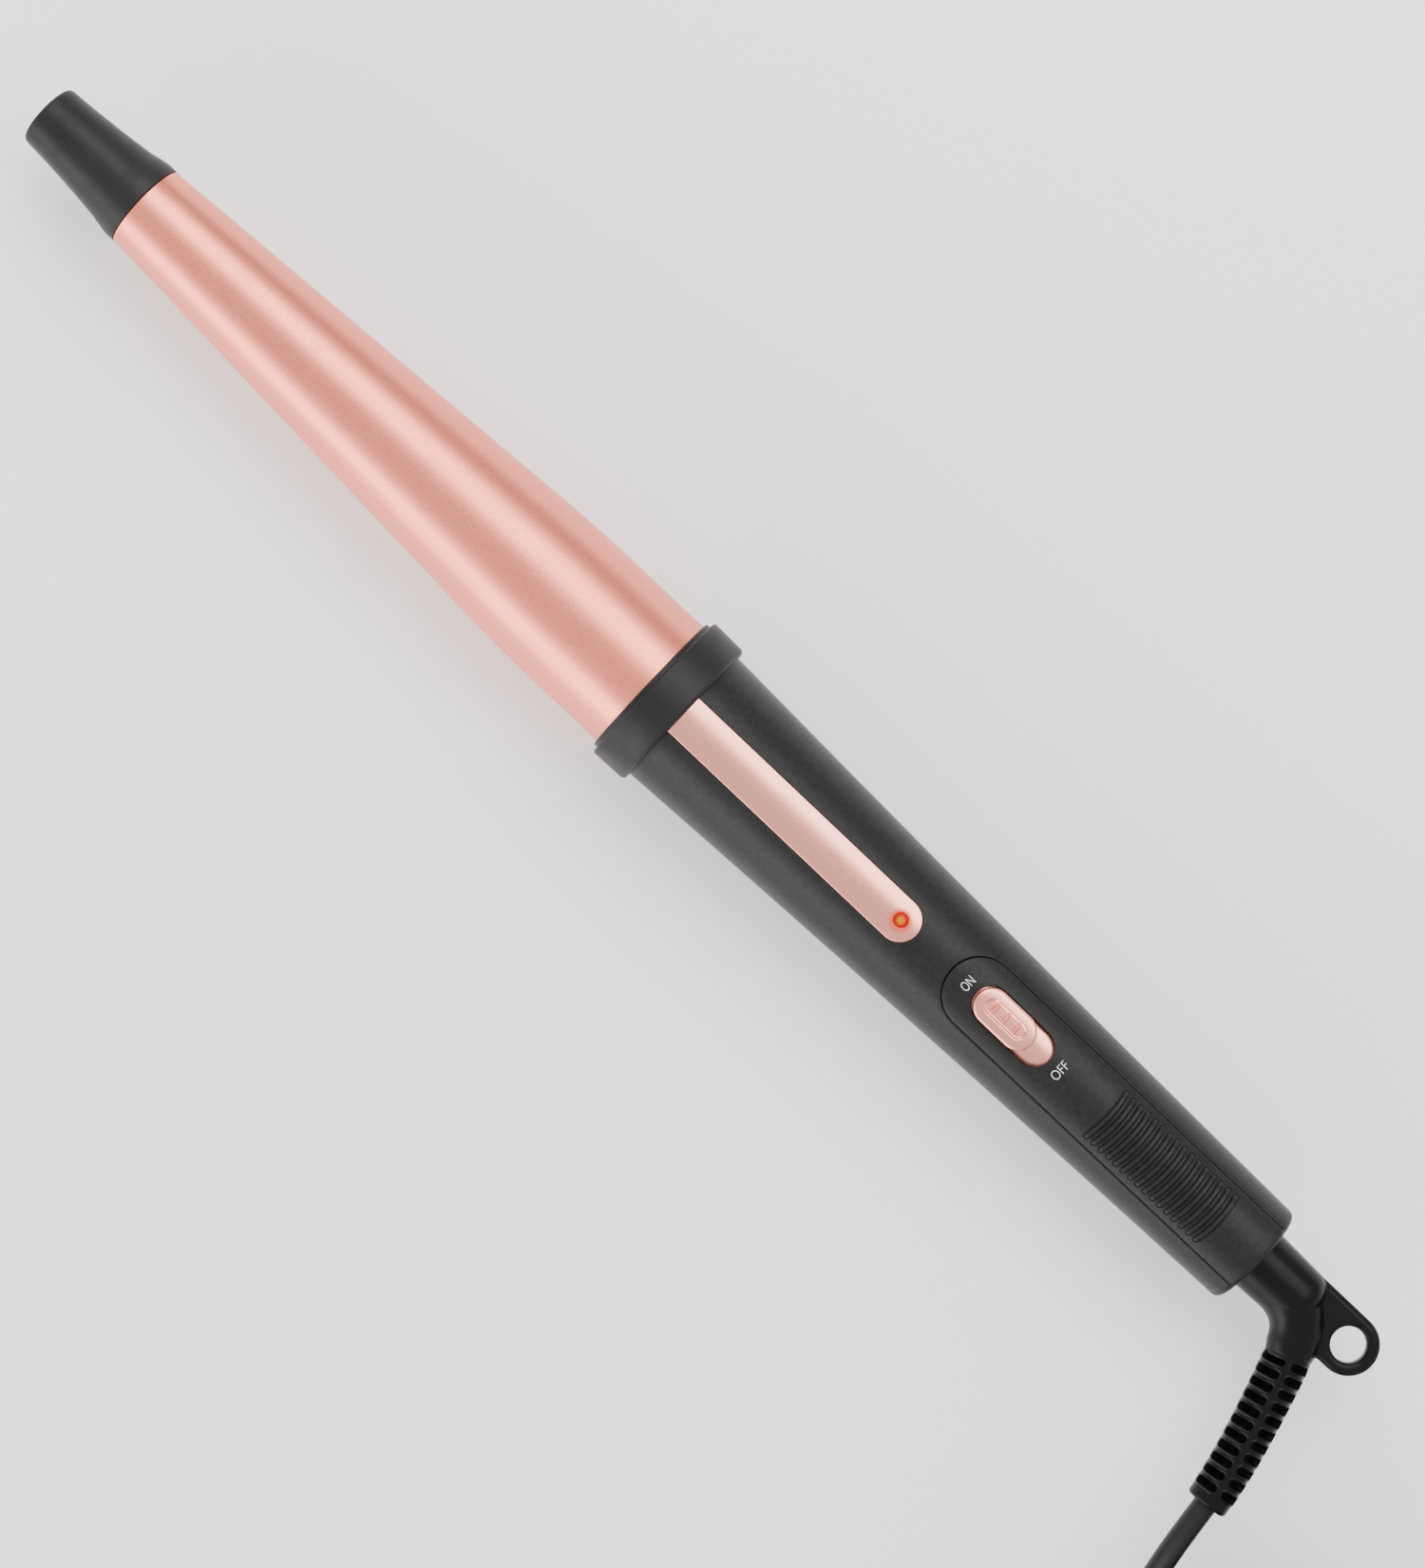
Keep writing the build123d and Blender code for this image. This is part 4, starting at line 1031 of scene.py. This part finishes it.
def make_elbow(material):
    """Elbow moulding: flange, neck, bent sleeve and flat hanging loop run into each other."""
    loop_x = handle_rear - 26.2
    loop_radius, hole_radius, half_thickness, loop_round = 6.5, 3.75, 1.9, 0.8
    flange_radius, flange_rear, flange_front, neck_radius = 9.0, 3.2, 5.7, 7.0
    neck = turned(
        rounded(
            [
                (handle_rear + flange_front, 0.0, 0),
                (handle_rear + flange_front, flange_radius, 0.3),
                (handle_rear + flange_rear, flange_radius, 0.3),
                (handle_rear + flange_rear, neck_radius, 0),
                (handle_rear, neck_radius, 0),
                (handle_rear - 15.9, 6.5, 4.0),
                (handle_rear - 16.3, 0.0, 0),
            ]
        ),
        64,
    )
    corner = Vector((handle_rear - 14.6, 0, axis_z))
    way = Vector((boot_start[0] - corner.x, boot_start[1], 0)).normalized()
    back = corner + Vector((10.0, 0, 0))
    ahead = corner + way * 8.5
    path, radii = [], []
    for i in range(25):
        t = i / 24
        path.append(bent(back, corner, ahead, t))
        radii.append(6.55 - 1.15 * smooth(t))
    web = []
    for here, after in zip(path[13:], path[14:]):
        onward = (after - here).normalized()
        across = Vector((-onward.y, onward.x, 0))
        web.append(ellipse(here + across * 1.5, across, 5.0, 3.3))
    reach = (Vector((*boot_start, axis_z)) - corner).length
    path.append(corner + way * 9.3)
    radii.append(5.3)
    for past, radius in ((-0.3, 5.02), (0, 4.95), (0.25, 4.7), (1, 4.6)):
        path.append(corner + way * (reach + past))
        radii.append(radius)
    sleeve = swept(path, radii)

    def rim(x, y):
        away = math.hypot(x - loop_x, y)
        border = loop_radius - away if x < loop_x else loop_radius - 0.1 - abs(y)
        return min(border, away - hole_radius)

    def half(x, y):
        return half_thickness - edge_drop(rim(x, y), loop_round)

    outline = band_line(loop_x, handle_rear - 12, loop_radius)
    loops = [circle(loop_x, 0, hole_radius + inset, 48) for inset in (0, 0.3, 0.9)]
    grid = spots(
        columns(loop_x - 6, handle_rear - 12.6, 0.8),
        columns(-5.6, 5.6, 0.8),
        lambda x, y: rim(x, y) > 0.5,
    )
    plate = skin(
        [outline + [outline[0]]],
        loops,
        grid,
        lambda x, y: rim(x, y) > 0,
        lambda x, y: (x, y, axis_z + half(x, y)),
        lambda x, y: (x, y, axis_z - half(x, y)),
    )
    whole = joined(neck, sleeve, plate, tube(web))
    made = piece("elbow_moulding", *whole, "swivel", "cord_plastic", material, ["swivel_elbow"])
    blend = made.modifiers.new("blend", "REMESH")
    blend.mode = "VOXEL"
    blend.voxel_size = 0.24 * mm
    blend.use_smooth_shade = True
    soften = made.modifiers.new("soften", "SMOOTH")
    soften.factor = 0.5
    soften.iterations = 9


def make_boot(material, painted_slot_shade):
    """Bend relief: tapered sleeve with eleven stations of four slots, their deep floors in a duller
    black as painted shade.
    """
    start, corner, end = (Vector((*p, axis_z)) for p in (boot_start, boot_corner, boot_end))
    slots, pitch, width, first_slot = 11, 2.95, 1.6, 3.9
    inner, start_radius, end_radius, end_round = 2.6, 4.9, 4.5, 0.8
    bead, rib_half = 0.13, 0.75
    count, steps = 176, 430
    quarter = math.pi / 4
    centres = [bent(start, corner, end, step / steps) for step in range(steps + 1)]
    covered = [0.0]
    for before, after in zip(centres, centres[1:]):
        covered.append(covered[-1] + (after - before).length)
    rings = []
    for step, here in enumerate(centres):
        t = step / steps
        way = ((corner - start) * (1 - t) + (end - corner) * t).normalized()
        across = Vector((-way.y, way.x, 0))
        from_end = covered[-1] - covered[step]
        radius = start_radius + (end_radius - start_radius) * t - edge_drop(from_end, end_round)
        station = min(max(round((from_end - first_slot) / pitch), 0), slots - 1)
        along = from_end - first_slot - station * pitch
        straight = radius * quarter - rib_half - width / 2
        ring = []
        for i in range(count):
            angle = 2 * math.pi * i / count
            from_rib = radius * abs((angle + quarter) % (2 * quarter) - quarter)
            from_middle = radius * quarter - from_rib
            over = max(from_middle - straight, 0.0)
            inside = width / 2 - math.hypot(over, along)
            rim = radius + bead * smooth((inside + 0.55) / 0.3) * smooth((t - 0.02) / 0.02)
            deep = rim - (rim - inner) * smooth(inside / 0.2 + 0.5)
            ring.append(tuple(here + across * deep * math.cos(angle) + up * deep * math.sin(angle)))
        rings.append(ring)
    made = piece(
        "boot_sleeve", *tube(rings), "swivel", "cord_plastic", material, ["bend_relief"], sharp=60
    )
    # painted shade: faces deep in the slots get the second material, a duller, less reflective black
    made.data.materials.append(painted_slot_shade)
    line = kdtree.KDTree(len(centres))
    for step, centre in enumerate(centres):
        line.insert(centre * mm, step)
    line.balance()
    for polygon in made.data.polygons:
        _, step, distance = line.find(polygon.center)
        outer = start_radius + (end_radius - start_radius) * step / steps
        if distance / mm < outer - 0.5 and 4 < step < steps - 4:
            polygon.material_index = 1


# ---------- tie and plug


def make_tie(material):
    """Strap pulled tight round the bundle, its loose end lying flat on top."""
    middle = (coil_inner_turn + coil_outer_turn) / 2
    turn = math.radians(tie_angle)
    outward = Vector((math.cos(turn), math.sin(turn), 0))
    along = Vector((-math.sin(turn), math.cos(turn), 0))
    centre = Vector((coil_x, coil_y, 0)) + outward * middle
    low, wide = tie_thickness, 2 * cord_radius
    step_z = low + 4 * wide
    high = low + 5 * wide
    corners = [(-wide, low, 2.2), (wide, low, 2.2), (wide, high, 2.4), (0.6, high, 2.0)]
    inside = rounded(corners + [(-wide, step_z, 2.2)], 8)
    low, wide, high = low - 1, wide + 1, high + 1
    corners = [(-wide, low, 3.1), (wide, low, 3.1), (wide, high, 3.3), (0.2, high, 2.8)]
    outside = rounded(corners + [(-wide, step_z + 0.5, 3.0)], 8)
    half = 4.2
    rings = []
    for line, offset in ((inside, -half), (inside, half), (outside, half), (outside, -half)):
        rings.append([tuple(centre + outward * x + along * offset + up * z) for x, z in line])
    return piece(
        "bundle_strap", *hoop(rings), "swivel", "tie_fabric", material, ["cord_tie"], sharp=50
    )


def rounded_box_ring(y, width, height, radius):
    """Rounded rectangle across the plug at y."""
    half_w, half_h = width / 2, height / 2
    corners = ((-half_w, -half_h), (half_w, -half_h), (half_w, half_h), (-half_w, half_h))
    outline = rounded([(x, z, radius) for x, z in corners], 8)
    return [(plug_x + x, y, plug_z + z) for x, z in outline]


def make_plug(material):
    """Plug: grip body that widens to the face, finger grooves, and a ringed bend relief."""
    grip_width, grip_height, corner, face_round = 22, 16, 4.6, 1.2
    back, shoulder = plug_relief_start - 14, plug_relief_start - 14.4
    rings = [rounded_box_ring(plug_relief_start, 6.6, 6.6, 3.25)]
    for i in range(1, 15):
        y = plug_relief_start - 12 * i / 14
        width = 7.6 + 2.6 * i / 14 - (0.9 if i % 2 == 0 else 0.0)
        rings.append(rounded_box_ring(y, width, width, width / 2 - 0.05))
    rings.append(rounded_box_ring(back + 1.2, 10.4, 10.2, 4.8))
    rings.append(rounded_box_ring(back, 13.5, 11.2, corner))
    for i in range(19):
        t = i / 18
        y = shoulder - (shoulder - plug_face - 8) * t
        width = 15.6 + 6.4 * smooth(t)
        height = 11.6 + 4.4 * smooth(t)
        dent = 0.5 if i % 3 == 1 and 2 < i < 15 else 0.0
        rings.append(rounded_box_ring(y, width - dent, height - dent, 4.2))
    for i in range(6):
        angle = math.pi / 2 * i / 5
        inset = face_round * (1 - math.cos(angle))
        y = plug_face + face_round * (1 - math.sin(angle))
        width, height = grip_width - 2 * inset, grip_height - 2 * inset
        rings.append(rounded_box_ring(y, width, height, corner - inset))
    return piece(
        "plug_moulding", *tube(rings), "swivel", "cord_plastic", material, ["plug_body"], sharp=50
    )


# ---------- stage

light_x = 0.22
light_distance = 0.85


def make_stage():
    """Pale floor, white surroundings and long soft lights beside and above the wand."""
    floor = bpy.data.meshes.new("floor")
    reach, level = 8.0, -0.0003
    corners = raised([(-reach, -reach), (reach, -reach), (reach, reach), (-reach, reach)], level)
    floor.from_pydata(corners, [], [(0, 1, 2, 3)])
    material, _, shader = new_material("pale_floor", (0.86, 0.86, 0.86), 0.9)
    shader.inputs["Emission Color"].default_value = (1, 1, 1, 1)
    shader.inputs["Emission Strength"].default_value = 0.35
    floor.materials.append(material)
    add_object("floor", floor)
    world = bpy.data.worlds.new("surroundings")
    bpy.context.scene.world = world
    world.use_nodes = True
    tree = world.node_tree
    background = tree.nodes["Background"]
    background.inputs["Color"].default_value = (1, 1, 1, 1)
    where = tree.nodes.new("ShaderNodeTexCoord")
    split = tree.nodes.new("ShaderNodeSeparateXYZ")
    tree.links.new(where.outputs["Generated"], split.inputs["Vector"])
    strength = between(tree, split.outputs["Y"], 0.6, 1.14, -0.97, -0.6)
    tree.links.new(strength, background.inputs["Strength"])
    add_light("high_strip", -32, (1.3, 0.56), 4.6)
    add_light("low_strip", 73, (1.3, 0.45), 5.0)


def add_light(name, lean, size, radiance):
    """Soft light along the wand, leaning from upright towards +Y by an angle in degrees."""
    data = bpy.data.lights.new(name, "AREA")
    data.shape = "RECTANGLE"
    data.size, data.size_y = size
    data.energy = radiance * math.pi * size[0] * size[1]
    light = add_object(name, data)
    turn = math.radians(lean)
    lift = light_distance * math.cos(turn)
    light.location = (light_x, light_distance * math.sin(turn), axis_z * mm + lift)
    light.rotation_euler = (-turn, 0, 0)
    light.visible_camera = False


# ---------- the whole object

make_camera()
black_cord = moulded("cord_pvc", (0.007, 0.007, 0.0075), 0.38, 1500, 0.00002, Specular_IOR_Level=0.28)
glossy_black = moulded(
    "cord_moulding", (0.0028, 0.0028, 0.0031), 0.33, 1800, 0.00001, Specular_IOR_Level=0.15
)
cord = make_cord(black_cord)
strap = make_tie(woven())
plug = make_plug(glossy_black)

black_plastic = moulded(
    "heat_proof_black", (0.0105, 0.0098, 0.0105), 0.46, 3200, 0.00001, Specular_IOR_Level=0.21
)
handle_lacquer = soft_touch()
plating = rose_metal()

make_tip(black_plastic)
make_barrel(barrel_coating())
make_collar(black_plastic)
make_shell(handle_lacquer)
make_trim(plating_with_painted_glow())
make_panel(handle_lacquer)
make_lettering(moulded("white_print", (0.92, 0.92, 0.92), 0.5))
make_lens(lit_lens())
make_knob(plating)
make_elbow(glossy_black)
# the second material is painted shade for the boot's slot floors
make_boot(glossy_black, moulded("slot_painted_shade", (0.003, 0.003, 0.003), 0.8, Specular_IOR_Level=0.1))

inside_looks = {
    "insulator": moulded("phenolic", (0.42, 0.36, 0.27), 0.6),
    "heater_alloy": metal("extruded_alloy", (0.75, 0.75, 0.77), 0.35, 1500, (0.05, 1, 1)),
    "ceramic": moulded("fired_ceramic", (0.16, 0.15, 0.165), 0.7),
    "bright_steel": metal("plated_steel", (0.62, 0.62, 0.64), 0.25),
    "amber_film": moulded("polyimide_film", (0.65, 0.28, 0.03), 0.25),
    "clear_glass": moulded("glass_bead", (0.6, 0.7, 0.62), 0.08),
    "white_lead": moulded("glass_fibre_sleeve", (0.75, 0.74, 0.70), 0.6, 3000, 0.00004),
    "board_green": moulded("solder_mask", (0.02, 0.16, 0.06), 0.3),
    "red_lens": moulded("lamp_epoxy", (0.7, 0.05, 0.02), 0.15),
    "capacitor_blue": moulded("capacitor_case", (0.03, 0.10, 0.35), 0.3),
    "black_epoxy": moulded("black_epoxy", (0.02, 0.02, 0.021), 0.5),
    "resistor_tan": moulded("resistor_lacquer", (0.55, 0.42, 0.24), 0.35),
    "contact_brass": metal("contact_brass", (0.80, 0.58, 0.26), 0.28),
    "white_nylon": moulded("white_nylon", (0.80, 0.80, 0.77), 0.45),
}
slots = {row["node"]: row["material_slot"] for row in frame["record"]["subparts"]}
for name, node in frame["nodes"].items():
    if not node.hide_render:
        node.data.materials.clear()
        node.data.materials.append(inside_looks[slots[name]])

make_stage()
